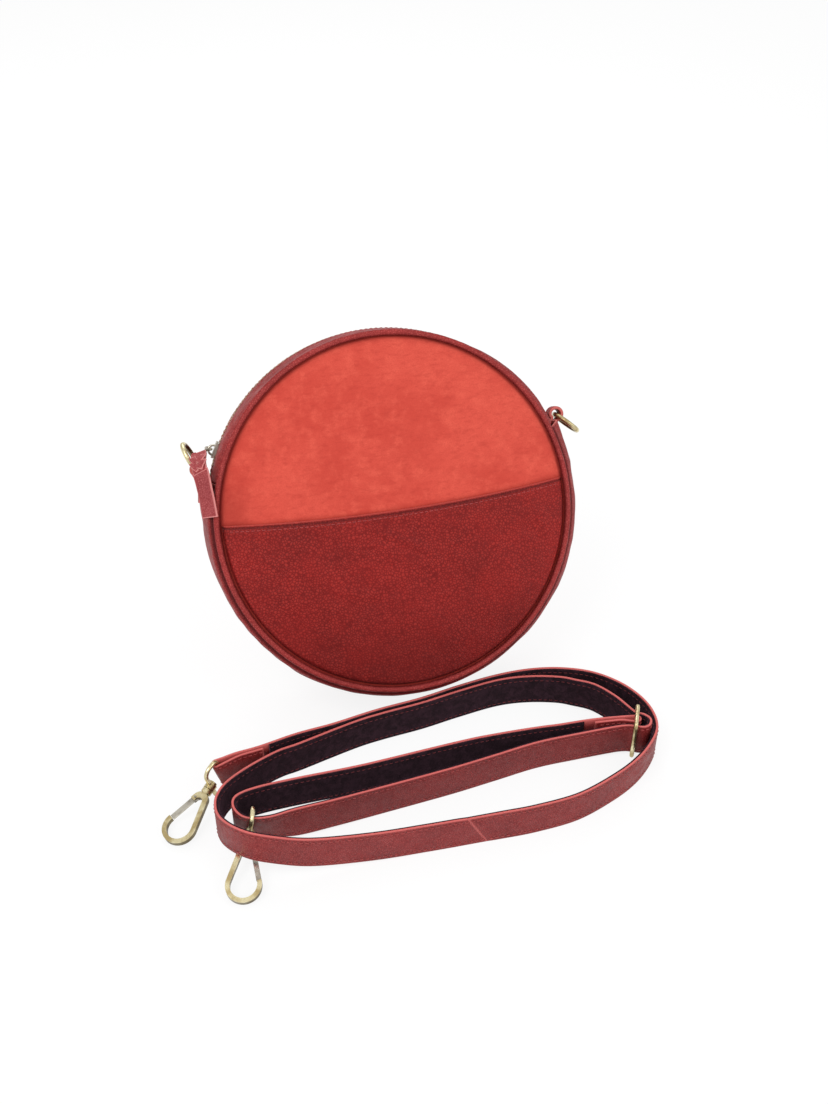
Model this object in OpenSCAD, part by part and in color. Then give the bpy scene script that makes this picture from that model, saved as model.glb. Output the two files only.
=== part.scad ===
/* [Bag body] */
// Radius of the round panels at their seam
panel_r = 108; // [95:1:120]
// Distance between the front seam and the back seam
bag_depth = 58; // [50:1:66]
// Height of the panels' crown above the seam
crown_h = 9; // [6:0.5:12]
// Angle that the face leans back from upright
lean = 30.4; // [26:0.2:34]
// Thickness of the leather and suede skins
skin_t = 1.4; // [1:0.1:1.6]
// Thickness of the cloth lining
cloth_t = 0.6; // [0.4:0.1:0.7]
// Radius of the piping bead
bead_r = 1.9; // [1.5:0.1:2.1]
// Depth of the seam allowances turned inside
seam_in = 6; // [4:0.5:8]
// How far the lower gusset swells past the seam
gusset_swell = 6.4; // [5:0.2:7]
// How far the zip strips swell past the seam
zip_swell = 4; // [3.4:0.2:4.6]
// Height of the pocket's top edge above the middle of the face
pocket_h = 8; // [4:1:14]
// Dip of the pocket's top edge at its middle
pocket_dip = 5; // [3:0.5:7]

/* [Zip] */
// Half of the angle that the zip spans at the top
zip_half_angle = 69; // [67:0.5:69.5]
// Width of the zip shown between the leather strips
zip_show = 9; // [8:0.5:11]
// Length of one zip tooth along the zip
tooth_l = 1.5; // [1.3:0.1:1.6]
// Distance from one tooth to the next on the same tape
tooth_pitch = 4; // [3.6:0.2:5]
// Width of the closed teeth across the zip
teeth_w = 5; // [4.4:0.2:5.4]
// Height of the teeth
tooth_h = 1.6; // [1.3:0.1:1.8]
// Length of the zip slider
slider_l = 11; // [9:0.5:12]
// Width of the zip slider
slider_w = 8.4; // [7.4:0.2:9]
// Width of the leather pull
pull_w = 9.4; // [8.4:0.2:10]
// Thickness of the leather pull
pull_t = 1.8; // [1.4:0.1:2.2]

/* [Rings and loops] */
// Radius of the bag rings, from the centre to the middle of the wire
ring_r = 9; // [8:0.5:10]
// Radius of the rings' wire
ring_wire_r = 1.5; // [1.2:0.1:1.6]
// Width of the leather loops
loop_w = 8; // [7:0.5:9]
// Inner radius of the eye of each leather loop
loop_eye_r = 3.6; // [3.4:0.1:4]
// Angle of the loops above the middle of the bag
loop_angle = 21.5; // [21:0.5:23]
// How much lower the left end of the zip lies than the right one, as an angle
left_turn = 3.5; // [2:0.5:4]

/* [Strap] */
// Width of the strap
strap_w = 22.6; // [20:0.2:24]
// Thickness of the strap's leather
strap_leather_t = 1.5; // [1.2:0.1:1.7]
// Thickness of the strap's lining
strap_lining_t = 1.1; // [0.8:0.1:1.2]

/* [Hooks and slider] */
// Room above and below the strap in the hooks' eyes and in the strap slider
eye_room = 1.2; // [1.1:0.1:1.6]
// Radius of the wire of the eyes and of the strap slider
eye_wire_r = 1.3; // [1.1:0.1:1.4]
// Distance from the bar of a hook's eye to the far side of the eye
eye_d = 10.5; // [10:0.5:13]
// Length from the eye's bar to the tip of the hook
hook_l = 51; // [48:1:56]
// Width of the hook's frame at its wide end
hook_w = 20.5; // [18:0.5:23]
// Width of the hook's frame at its shoulder
hook_neck_w = 10; // [9:0.5:11]
// Thickness of the hook's frame
hook_t = 3.8; // [3.6:0.1:4.2]
// Width of the metal round the hook's opening
hook_bar = 2.6; // [2.4:0.1:3]
// Distance from the slider's middle bar to its outer bars
slide_half = 9.4; // [9:0.2:11]

/* [Hidden] */

// Shift of the whole set that puts its middle over the origin
// Where the middle of the bag's face stands before that shift
set_dx = 1.2;
set_dy = 0.65;
face_x = 14;
face_y = 30.5;
// Gap kept between pieces that move past each other
gap = 0.35;
// Overrun of every cut
over = 1;
// Smoothness of round pieces
fine = 96;
round_fn = 32;

suede_c = "tomato";
leather_c = "firebrick";
band_c = "indianred";
lining_c = "dimgray";
brass_c = "darkkhaki";
steel_c = "lightslategray";
tape_c = "darkred";

half = bag_depth / 2;
seam_clear = 0.15;
bead_pos_r = panel_r + bead_r + seam_clear;
flange_t = 0.8;
// Room on each side of the flange between the skins that it is sewn to
seam_lay = 0.08;
gusset_in_r = panel_r + flange_t;
seam_out_r = gusset_in_r + skin_t;
edge_in = bead_r + seam_clear;
band_half = half - edge_in;

// Rise of the crowned panel at radius r, as a share of the crown
function dome_share(r) = 1 - pow(r / panel_r, 3);
// Rise of a swollen band at distance f from its middle, as a share of its swell
function swell_share(f, p, e) = pow(max(0, 1 - pow(abs(f) / e, p)), 1 / p);
gusset_p = 4;
zip_p = 2.2;
steps = 14;

// Surface of a band as points (r, f) from f0 to f1, where e is the distance at which it meets its seam
function band_line(r0, swell, p, e, f0, f1, n = steps) =
  [for (i = [0:n]) let (g0 = asin(f0 / e), g1 = asin(f1 / e), f = e * sin(g0 + (g1 - g0) * i / n))
    [r0 + swell * swell_share(f, p, e), f]];
function flip(list) = [for (i = [len(list) - 1:-1:0]) list[i]];

// Height of the face's middle above the floor: the bag's lowest round touches it
tread_cut = 0.5;
tread = concat(band_line(seam_out_r, gusset_swell, gusset_p, band_half, -band_half, band_half, 40),
  [[bead_pos_r + bead_r * cos(lean), -half - bead_r * sin(lean)]]);
mid_z = max([for (q = tread) q[0] * cos(lean) - q[1] * sin(lean)]) - tread_cut;
// The middle of the bag stands this far behind the face's middle, along the floor
mid_y = face_y + half * cos(lean);

// Bag's own frame: x to the right, y into the bag's depth, z up its face; origin in its middle
module in_bag() translate([face_x + set_dx, mid_y + set_dy, mid_z]) rotate([-lean, 0, 0]) children();
// Turns a revolve so that its axis points out of the face and its angles run from +x towards +z
module upright() rotate([90, 0, 0]) children();
module floor_cut() difference() {
  children();
  translate([face_x, mid_y, -2 * panel_r]) cube(4 * panel_r, center = true);
}

// Round panel: a crowned sheet whose rim turns into the bag as its seam allowance
module panel(side) {
  rim_r = panel_r - skin_t;
  top = [for (i = [0:steps]) let (r = panel_r * i / steps) [r, half + crown_h * dome_share(r)]];
  low = [for (i = [0:steps]) let (r = rim_r * i / steps)
    [r, half + crown_h * dome_share(r * panel_r / rim_r) - skin_t]];
  in_bag() mirror([0, side < 0 ? 1 : 0, 0]) upright()
    rotate_extrude($fn = fine)
      polygon(concat(top, [[panel_r, half - seam_in], [rim_r, half - seam_in]], flip(low)));
}
module front_panel() color(suede_c) panel(1);
module back_panel() color(leather_c) panel(-1);

// Pocket: a second skin over the lower face, with a turned hem along its dipped top edge
pocket_gap = 0.05;
hem_h = 8;
hem_t = 0.5;
module pocket_shell(t, rim) rotate_extrude($fn = fine) {
  n = steps;
  base = [for (i = [0:n]) let (r = rim * i / n) [r, half + crown_h * dome_share(r) + pocket_gap]];
  polygon(concat(base, flip([for (q = base) [q[0], q[1] + t]])));
}
// Area under the pocket's top edge, as the dipped curve between its two ends
module pocket_area(drop) {
  n = 24;
  top = [for (i = [0:n]) let (s = 2 * i / n - 1)
    [s * (panel_r + over), pocket_h - drop - pocket_dip * (1 - s * s)]];
  polygon(concat([[-panel_r - over, -panel_r - over]], top, [[panel_r + over, -panel_r - over]]));
}
rim_share = 1.2;
pocket_rim = panel_r - rim_share * skin_t;
module front_pocket() color(leather_c) in_bag() upright() {
  intersection() {
    pocket_shell(skin_t, pocket_rim);
    linear_extrude(2 * half) pocket_area(0);
  }
  difference() {
    intersection() {
      translate([0, 0, skin_t]) pocket_shell(hem_t, pocket_rim - hem_t);
      linear_extrude(2 * half) pocket_area(0);
    }
    linear_extrude(2 * half) pocket_area(hem_h);
  }
}

// Piping: a bead on the seam with a flange sewn between panel and gusset
module piping(side) in_bag() mirror([0, side < 0 ? 1 : 0, 0]) upright() rotate_extrude($fn = fine) {
  translate([bead_pos_r, half]) circle(bead_r, $fn = round_fn);
  translate([panel_r + seam_lay, half - seam_in]) square([flange_t - 2 * seam_lay, seam_in]);
}
module front_piping() color(band_c) piping(1);
module back_piping() color(band_c) floor_cut() piping(-1);

// One band of the gusset as a profile: swollen skin with edges turned in at the seams
module band_profile(swell, p, f0, f1) {
  in_half = band_half - skin_t;
  g0 = f0 < 0 ? -in_half : f0;
  outer = band_line(seam_out_r, swell, p, band_half, f0, f1);
  inner = band_line(gusset_in_r, swell, p, in_half, g0, in_half);
  polygon(concat(outer, [[gusset_in_r, band_half]], flip(inner), f0 < 0 ? [[gusset_in_r, -band_half]] : []));
}
module seam_flap(side) translate([gusset_in_r, side > 0 ? half - seam_in : -half + edge_in])
  square([skin_t, seam_in - edge_in]);
// Part of a turn from angle a0 to angle a1 of the face
module arc_band(a0, a1) upright() rotate([0, 0, a0]) rotate_extrude(angle = a1 - a0, $fn = fine) children();

zip_a0 = 90 - zip_half_angle;
zip_a1 = 90 + zip_half_angle + left_turn;
end_gap = 0.4;
gusset_a0 = zip_a1 + end_gap;
full_turn = 360;
gusset_a1 = full_turn + zip_a0 - end_gap;
gusset_top_r = seam_out_r + gusset_swell;
// End pad: the gusset's end stands off over the loop's two tails, as a wedge with a slot for them
tails_t = 2 * skin_t;
pad_gap = 0.05;
pad_half = 20;
pad_from = 6;
pad_sink = 0.8;
tail_from = 12;
pad_steps = 8;
pad_end = 90 - zip_half_angle - end_gap;
pad_short = 0.2;
pad_stop = pad_end - pad_short;
function polar(r, a) = [r * cos(a), r * sin(a)];
// The left end (m = 1) is the right one mirrored and turned down by left_turn
module at_end(m) rotate([0, 0, m * left_turn]) mirror([m, 0, 0]) children();
// Radius of the loop's tails' outer face, rising from the gusset's surface to the full two layers
function tail_top(a) = gusset_top_r + tails_t * (a - tail_from) / (pad_end - tail_from);
function pad_top(a) = gusset_top_r - pad_sink
  + (tails_t + skin_t + pad_sink + pad_gap) * (a - pad_from) / (pad_end - pad_from);
module pad_outline() polygon(concat(
  [for (i = [0:pad_steps]) let (a = pad_from + (pad_stop - pad_from) * i / pad_steps) polar(pad_top(a), a)],
  [for (i = [pad_steps:-1:0]) let (a = pad_from + (pad_stop - pad_from) * i / pad_steps)
    polar(gusset_top_r - pad_sink, a)]));
module tail_outline(grow, drop, to) polygon(concat(
  [for (i = [0:pad_steps]) let (a = tail_from + (to - tail_from) * i / pad_steps)
    polar(tail_top(a) + grow, a)],
  [for (i = [pad_steps:-1:0]) let (a = tail_from + (to - tail_from) * i / pad_steps)
    polar(gusset_top_r - drop, a)]));
module end_pad() difference() {
  linear_extrude(2 * pad_half, center = true) pad_outline();
  linear_extrude(loop_w + 2 * pad_gap, center = true) tail_outline(pad_gap, pad_sink + over, pad_end + over);
}
module lower_gusset() color(band_c) floor_cut() in_bag() {
  arc_band(gusset_a0, gusset_a1) {
    band_profile(gusset_swell, gusset_p, -band_half, band_half);
    seam_flap(1);
    seam_flap(-1);
  }
  upright() for (m = [0, 1]) at_end(m) end_pad();
}

// Zip strips: the two leather halves beside the zip
module zip_strip(side) in_bag() mirror([0, side < 0 ? 1 : 0, 0]) arc_band(zip_a0, zip_a1) {
  band_profile(zip_swell, zip_p, zip_show / 2, band_half);
  seam_flap(1);
}
module zip_strip_front() color(band_c) zip_strip(1);
module zip_strip_back() color(band_c) zip_strip(-1);

// Zip tape: cloth under the edge of each strip, up to the teeth
tape_t = 0.5;
tape_w = 10;
tape_gap = 0.1;
tape_lay = 0.06;
module zip_tape(side) in_bag() mirror([0, side < 0 ? 1 : 0, 0]) arc_band(zip_a0, zip_a1)
  polygon(concat(
    band_line(gusset_in_r - tape_lay, zip_swell, zip_p, band_half - skin_t, tape_gap, tape_w),
    flip(band_line(gusset_in_r - tape_lay - tape_t, zip_swell, zip_p, band_half - skin_t, tape_gap, tape_w))));
module zip_tape_front() color(tape_c) zip_tape(1);
module zip_tape_back() color(tape_c) zip_tape(-1);

// Zip teeth: each row's teeth reach past the middle between those of the other row
teeth_r = gusset_in_r + zip_swell;
teeth_margin = 3;
tooth_step = tooth_pitch / teeth_r * 180 / PI;
tooth_n = floor((zip_a1 - zip_a0 - 2 * teeth_margin) / tooth_step);
tooth_reach = 0.8;
row_shares = [0.25, 0.75];
module tooth() linear_extrude(tooth_h) polygon([
  [-tooth_l / 2, teeth_w / 2], [-tooth_l / 2, 0], [-tooth_l / 3, -tooth_reach],
  [tooth_l / 3, -tooth_reach], [tooth_l / 2, 0], [tooth_l / 2, teeth_w / 2]]);
module teeth_row(side) in_bag() mirror([0, side < 0 ? 1 : 0, 0]) upright()
  for (i = [0:tooth_n - 1]) {
    a = zip_a0 + teeth_margin + (i + row_shares[side > 0 ? 0 : 1]) * tooth_step;
    rotate([0, 0, a]) translate([teeth_r, 0, 0]) rotate([90, 0, 90]) tooth();
  }
module zip_teeth_front() color(brass_c) teeth_row(1);
module zip_teeth_back() color(brass_c) teeth_row(-1);
// Stops: a metal clip across both tapes at each end of the teeth
stop_l = 2;
module zip_stops() color(brass_c) in_bag() upright()
  for (a = [zip_a0 + teeth_margin - tooth_step, zip_a1 - teeth_margin + tooth_step / 2])
    rotate([0, 0, a]) translate([teeth_r + tooth_h / 2, 0, 0])
      cube([tooth_h, stop_l, teeth_w], center = true);

// Linings: cloth a little inside the skins
lining_gap = 0.2;
lining_r = panel_r - skin_t - lining_gap;
module panel_lining(side) {
  fall = skin_t + lining_gap;
  n = steps;
  top = [for (i = [0:n]) let (r = lining_r * i / n)
    [r, half + crown_h * dome_share(r * panel_r / lining_r) - fall]];
  in_bag() mirror([0, side < 0 ? 1 : 0, 0]) upright() rotate_extrude($fn = fine)
    polygon(concat(top, flip([for (q = top) [q[0], q[1] - cloth_t]])));
}
module front_lining() color(lining_c) panel_lining(1);
module back_lining() color(lining_c) panel_lining(-1);
lining_half = half - seam_in;
// The gusset's lining is a full round, open along the zip
module gusset_lining() color(lining_c) in_bag() difference() {
  upright() rotate_extrude($fn = fine) translate([lining_r - cloth_t, -lining_half])
    square([cloth_t, 2 * lining_half]);
  arc_band(gusset_a1 - full_turn, gusset_a0) translate([lining_r - cloth_t - over, -tape_w])
    square([cloth_t + 2 * over, 2 * tape_w]);
}

// Loops: a leather strip folded round its ring, its tails running under the gusset's end pad
loop_out_r = loop_eye_r + skin_t;
// How far the middle of each loop's eye stands off the gusset, and its angle from the gusset's end
loop_stand = [9.3, 5.6];
loop_ahead = [loop_angle - pad_end, 2.9];
function loop_c(m) = polar(gusset_top_r + loop_stand[m], pad_end + loop_ahead[m]);
// The same place on the face
function eye_c(m) = m == 0 ? loop_c(m)
  : polar(norm(loop_c(m)), full_turn / 2 - pad_end - loop_ahead[m] + left_turn);
module loop_shape(m) difference() {
  union() {
    difference() {
      hull() {
        translate(loop_c(m)) circle(loop_out_r, $fn = round_fn);
        translate(polar(gusset_top_r + skin_t + pad_gap, pad_end)) circle(skin_t, $fn = round_fn);
      }
      pad_outline();
    }
    tail_outline(0, 0, pad_end);
  }
  translate(loop_c(m)) circle(loop_eye_r, $fn = round_fn);
}
module loop(m) in_bag() upright() at_end(m) linear_extrude(loop_w, center = true) loop_shape(m);
module right_loop() color(leather_c) loop(0);
module left_loop() color(leather_c) loop(1);

// Rings: a round of wire through each loop, turned about the loop's eye
ring_set = [0.5, -0.3];
ring_at = [-42.5, 112];
ring_twist = [6, -12];
module ring(m) in_bag() upright() translate(eye_c(m)) rotate([0, 0, ring_at[m]])
  translate([ring_set[m] + ring_r, 0, 0]) rotate([90 + ring_twist[m], 0, 0]) rotate_extrude($fn = fine)
    translate([ring_r, 0]) circle(ring_wire_r, $fn = round_fn);
module right_ring() color(brass_c) ring(0);
module left_ring() color(brass_c) ring(1);

// Zip slider: a plate with two side flanges over the teeth and an arch for the puller
slider_at = 152.9;
slider_gap = 0.35;
plate_t = 1.5;
nose_share = 0.8;
flange_w = 1.2;
slider_r0 = teeth_r + tooth_h + slider_gap;
arch_r = 3;
arch_wire = 0.7;
arch_shift = 0.6;
module at_slider() in_bag() upright() rotate([0, 0, slider_at]) children();
module zip_slider() color(brass_c) at_slider() {
  translate([slider_r0, 0, 0]) rotate([90, 0, 90]) linear_extrude(plate_t) hull() {
    translate([-slider_l / 2 + slider_w / 2, 0]) circle(slider_w / 2, $fn = round_fn);
    translate([slider_l / 2 - slider_w / 4, 0]) square([slider_w / 2, nose_share * slider_w], center = true);
  }
  for (m = [-1, 1]) translate([teeth_r + slider_gap, -slider_l / 4, m * (slider_w / 2 - flange_w / 2) - flange_w / 2])
    cube([tooth_h + plate_t / 2, slider_l / 2, flange_w]);
  translate([slider_r0 + plate_t, arch_shift, 0]) rotate([0, 0, -90])
    rotate_extrude(angle = 180, $fn = fine) translate([arch_r, 0]) circle(arch_wire, $fn = round_fn);
}

// Zip puller: an eye on the arch, a shank and a cross bar for the leather pull
puller_dir = [4.3, 4.75, 12];
shank_r = 0.9;
bar_r = 0.7;
bar_l = 8;
eye_r = 1.9;
eye_wire = 0.6;
apex = [slider_r0 + plate_t + arch_r, arch_shift, 0];
puller_l = norm(puller_dir);
px = puller_dir / puller_l;
py0 = [0, 1, 0] - px[1] * px;
py = py0 / norm(py0);
pz = cross(px, py);
module on_axes(o, a, b, c) multmatrix([
  [a[0], b[0], c[0], o[0]], [a[1], b[1], c[1], o[1]], [a[2], b[2], c[2], o[2]], [0, 0, 0, 1]]) children();
module at_puller() at_slider() on_axes(apex, px, py, pz) children();
// The cross bar lies along the pull's width, square to the shank
bar_lay = [0.98, 0.16, 0.14];
er = [cos(slider_at), sin(slider_at), 0];
et = [-sin(slider_at), cos(slider_at), 0];
function on_face(v) = v[0] * er + v[1] * et + [0, 0, v[2]];
bx = on_face(px);
bz0 = bar_lay - (bar_lay * bx) * bx;
bz = bz0 / norm(bz0);
bar_c = on_face(apex + puller_dir);
module at_cross_bar() in_bag() upright() on_axes(bar_c, bx, cross(bz, bx), bz) children();
module zip_puller() color(brass_c) {
  at_puller() {
    rotate([90, 0, 0]) rotate_extrude($fn = fine) translate([eye_r, 0]) circle(eye_wire, $fn = round_fn);
    translate([eye_r, 0, 0]) rotate([0, 90, 0]) cylinder(h = puller_l - eye_r, r = shank_r, $fn = round_fn);
  }
  at_cross_bar() translate([0, 0, -bar_l / 2]) cylinder(h = bar_l, r = bar_r, $fn = round_fn);
}

// A flat band swept through places C with width directions W: width w, thickness t
function unit(v) = v / norm(v);
function lead(C, i) = unit(C[min(i + 1, len(C) - 1)] - C[max(i - 1, 0)]);
function band_ring(C, W, w, t, i) =
  let (d = lead(C, i), n = unit(cross(W[i], d)), a = unit(cross(d, n)))
  [C[i] - a * w / 2 + n * t / 2, C[i] + a * w / 2 + n * t / 2,
    C[i] + a * w / 2 - n * t / 2, C[i] - a * w / 2 - n * t / 2];
// Faces of a sweep of four-cornered rings
function sweep_faces(n, turn) = concat(
  [[0, 1, 2], [0, 2, 3]],
  [for (i = [0:n - 2], k = [0:3]) let (a = 4 * i + k, b = 4 * i + (k + 1) % 4) turn ? [a, b + 4, b] : [a, a + 4, b]],
  [for (i = [0:n - 2], k = [0:3]) let (a = 4 * i + k, b = 4 * i + (k + 1) % 4)
    turn ? [a, a + 4, b + 4] : [b, a + 4, b + 4]],
  [[4 * n - 4, 4 * n - 2, 4 * n - 3], [4 * n - 4, 4 * n - 1, 4 * n - 2]]);
module sweep(rings, turn = false) polyhedron([for (r = rings, p = r) p], sweep_faces(len(rings), turn), convexity = 8);

// Pull: the leather is folded round the cross bar, plaited, and ends in a flat tail on the front shoulder
lug_r = 2.2;
lug_l = 2.4;
lug_in = 1.3;
pull_C = [[-113.2, 50, 14], [-114, 46.7, 19], [-114, 42.5, 23.6], [-113.2, 38, 27], [-113, 32, 28.8],
  [-113.3, 26, 29.4], [-113.9, 20.5, 29.4], [-114.2, 15.5, 29.4]];
pull_W = [[0.88, 0.11, 0.46], [0.88, 0.11, 0.46], [0.88, 0.1, 0.46], [0.82, 0.04, 0.57], [0.78, 0, 0.63],
  [0.78, 0, 0.63], [0.78, 0, 0.63], [0.78, 0.3, 0.63]];
plait_n = 3;
plait_swell = 1.8;
module plait_lugs() at_cross_bar() for (m = [-1, 1])
  translate([0, 0, m * (lug_in + lug_l / 2)]) difference() {
    cylinder(h = lug_l, r = lug_r, center = true, $fn = round_fn);
    cylinder(h = lug_l + over, r = bar_r + gap, center = true, $fn = round_fn);
  }
module pull_band(i0, i1, t) sweep([for (i = [i0:i1]) band_ring(pull_C, pull_W, pull_w, t, i)]);
module pull_plait() color(leather_c) {
  plait_lugs();
  in_bag() upright() pull_band(0, plait_n, plait_swell * pull_t);
}
module pull_tail() color(leather_c) in_bag() upright() pull_band(plait_n, len(pull_C) - 1, pull_t);

// Smooth curve through hand-placed points, with n steps to a span
function curve_at(a, b, c, d, t) =
  (2 * b + (c - a) * t + (2 * a - 5 * b + 4 * c - d) * t * t + (3 * b - a - 3 * c + d) * t * t * t) / 2;
function smooth(P, n) = concat(
  [for (i = [0:len(P) - 2], j = [0:n - 1])
    curve_at(P[max(i - 1, 0)], P[i], P[i + 1], P[min(i + 2, len(P) - 1)], j / n)],
  [P[len(P) - 1]]);

// Strap's route on the floor, as the line between its leather and its lining: x, y, height of the lower
// edge, and how far the upper edge leans from the middle in x and y
bar_wrap_r = eye_wire_r + gap;
left_bar = [-115.3, -52.2];
left_z = 5.2;
left_lean = [-2.4, -2.2];
slide_bar = [137.2, -80.5];
slide_z = 3.9;
wrap_n = 12;
left_turns = [-68, -254];
slide_turns = [76, -118];
left_heading = 222.7;
left_dip = 16.4;
// A wrap goes square round its bar, so it dips on the side to which the bar's hook dips
function wrap(c, z, l, a0, a1, heading, dip) = [for (i = [0:wrap_n]) let (a = a0 + (a1 - a0) * i / wrap_n)
  [c[0] + bar_wrap_r * cos(a), c[1] + bar_wrap_r * sin(a), z - bar_wrap_r * cos(a - heading) * sin(dip),
    l[0], l[1]]];
start_tail = [[-89, -45.6, 1.5, 0, 0], [-96, -47.1, 2, 0, 0], [-103, -48.9, 3.2, -0.6, -0.5],
  [-109.5, -51.6, 4.4, -1.8, -1.6]];
start_wrap = wrap(left_bar, left_z, left_lean, left_turns[0], left_turns[1], left_heading, left_dip);
lap_far = [[-111.5, -49.5, 4.4, -1.8, -1.6], [-104, -47.6, 3.2, -0.6, -0.5], [-90, -44.6, 1.5, 0, 0],
  [-67, -38.6, 0.3, 0, 0], [-43, -35.5, 0, 0, 0], [-15, -30.5, 0, 0, 0], [14, -27.3, 0, 0, 0],
  [40, -22.5, 0, 0, 0], [66, -19, 0, 0, 0], [88, -18.8, 0, 0, 0], [108, -22.5, 0, 0, 0],
  [126, -30.5, 0, 0, 0], [139, -42.5, 0, 0, 0], [147, -56, 0, 0, 0], [150.5, -70, 0, 0, 0],
  [149, -84, 0, 0, 0], [142, -95, 0, 0, 0], [128, -107, 0, 0, 0], [110, -116.5, 0, 0, 0],
  [84, -125.5, 0, 0, 0], [57, -128, 0, 0, 0], [36, -127.7, 0, 0, 0], [21.6, -127.3, 0, -6.3, 0]];
lap_near = [[21.6, -127.3, 0, -6.3, 0], [8, -126.8, 0, 0, 0], [-8, -126.6, 0.5, 0, 0],
  [-35, -126.5, 2, 0, 0], [-63, -125.5, 4.6, 0, 0], [-80, -124.5, 7.6, 0, 0], [-95, -122.3, 11.8, 0, 0],
  [-106, -119.5, 14.9, 0, 0], [-113.3, -113.8, 14.8, 0, 0], [-118.2, -105.5, 11.8, 0, 0],
  [-121, -97, 8.4, 0, 0], [-121.7, -89, 6.6, 0, 0], [-120, -80, 5, 0, 0], [-113.5, -70, 3.5, 0, 0], [-100, -60, 2, 0, 0],
  [-81, -50.5, 0.7, 0, 0], [-66, -46.5, 0, 0, 0], [-31, -37.3, 0, 0, 0], [-11, -34, 0, 0, 0],
  [14, -31.3, 0, 0, 0], [40, -26.8, 0, 0, 0], [66, -23.5, 0, 0, 0], [86, -25, 0, 0, 0],
  [104, -30.5, 0.5, 0, 0], [114, -36.5, 1, 0, 0], [124, -44.5, 1.8, 0, 0], [131.8, -57.5, 2.6, 0, 0],
  [135.6, -68.2, 3.4, 0, 0], [138.6, -75.4, 3.5, 0, 0], [142.6, -78.2, 3.5, 0, 0], [144.9, -82.3, 3.5, 0, 0],
  [143, -86.3, 3.5, 0, 0], [139.2, -87.4, 3.5, 0, 0], [134.8, -85.4, 3.5, 0, 0], [130, -83.2, 3, 0, 0],
  [122, -82, 2.5, 0, 0], [99, -80.5, 0.8, 0, 0], [74, -80.3, 0, 0, 0], [46, -84, 0, 0, 0],
  [18, -87.7, 0, 0, 0], [-24, -92, 0.3, 0, 0], [-55, -96, 1.8, 0, 0], [-78, -98.4, 3, 0, 0],
  [-92, -98.6, 3.8, 0, -2.2], [-102.4, -97.3, 4.7, 0, -3], [-108.3, -95, 4.7, 0, -2.2],
  [-111.6, -90.2, 4.6, 0, -0.6], [-111, -84.6, 4.7, 0, 0], [-105.8, -80.7, 4.3, 0, 0], [-94, -78, 3.5, 0, 0],
  [-73, -75.5, 1.7, 0, 0], [-30, -73.3, 0, 0, 0], [27, -69.5, 0, 0, 0], [50, -69, 0, 0, 0],
  [78, -69.9, 0, 0, 0], [91, -71.5, 0.7, 0, 0], [111, -73.5, 2, 0, 0], [130, -77.2, 3.5, 0, 0]];
end_wrap = wrap(slide_bar, slide_z, [0, 0], slide_turns[0], slide_turns[1], 0, 0);
end_tail = [[133.5, -80.4, 3.5, 0, 0], [128, -78.2, 3.5, 0, 0], [120, -76.6, 2.8, 0, 0], [112, -75.1, 2.2, 0, 0]];
span_n = 4;
route_a = concat(smooth(start_tail, 2), start_wrap, smooth(lap_far, span_n));
route_b = concat(smooth(lap_near, span_n), end_wrap, smooth(end_tail, 2));
// The lining lies on the inner side of the laps, starting and stopping past the turned-back tails
lining_skip = [9, 5];
route_l = let (a = smooth(lap_far, span_n), b = smooth(lap_near, span_n))
  concat([for (i = [lining_skip[0]:len(a) - 1]) a[i]], [for (i = [1:len(b) - 1 - lining_skip[1]]) b[i]]);
function side_of(R, i) = let (p = R[max(i - 1, 0)], q = R[min(i + 1, len(R) - 1)],
  d = unit([q[0] - p[0], q[1] - p[1]])) [-d[1], d[0], 0];
// Strap's length, and the least gap between its laps, from the outer faces of both layers at every station
route = concat(route_a, [for (i = [1:len(route_b) - 1]) route_b[i]]);
function run_up(R, i = 1, t = 0, out = [0]) = i >= len(R) ? out :
  let (s = t + norm([R[i][0] - R[i - 1][0], R[i][1] - R[i - 1][1]])) run_up(R, i + 1, s, concat(out, [s]));
run = run_up(route);
self_apart = 4 * bar_wrap_r;
lined_a = len(smooth(start_tail, 2)) + len(start_wrap) + lining_skip[0];
lined_b = len(route) - len(smooth(end_tail, 2)) - len(end_wrap) - lining_skip[1];
function face_line(t) = [for (i = [0:len(route) - 1]) let (n = side_of(route, i),
  u = t < 0 && (i < lined_a || i > lined_b) ? 0 : t) [route[i][0] + u * n[0], route[i][1] + u * n[1]]];
function off_line(p, a, b) = let (d = b - a, t = d * d == 0 ? 0 : min(1, max(0, (p - a) * d / (d * d)))) norm(p - a - t * d);
function lap_gap(A, B) = min([for (i = [0:len(A) - 1], j = [1:len(B) - 1])
  if (min(abs(run[i] - run[j]), abs(run[i] - run[j - 1])) > self_apart) off_line(A[i], B[j - 1], B[j])]);
let (A = face_line(strap_leather_t), B = face_line(-strap_lining_t))
  echo(strap_length = run[len(run) - 1], least_lap_gap = min(lap_gap(A, A), lap_gap(A, B), lap_gap(B, A), lap_gap(B, B)));
// Ring of four corners at station i: t > 0 lies left of the way the strap runs, t < 0 right of it
function strap_ring(R, i, t) =
  let (p = R[i], l = [p[3], p[4], 0], h = sqrt(strap_w * strap_w / 4 - (p[2] > 0 ? l * l : 0)),
    m = [p[0] + set_dx, p[1] + set_dy, max(0, p[2]) + strap_w / 2], n = side_of(R, i) * t, u = l + [0, 0, h])
  t > 0 ? [m - u, m - u + n, m + u + n, m + u] : [m - u + n, m - u, m + u, m + u + n];
module ribbon(R, t) sweep([for (i = [0:len(R) - 1]) strap_ring(R, i, t)], t < 0);
module strap_leather_long() color(leather_c) ribbon(route_a, strap_leather_t);
module strap_leather_short() color(leather_c) ribbon(route_b, strap_leather_t);
module strap_lining() color(lining_c) ribbon(route_l, -strap_lining_t);

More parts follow.
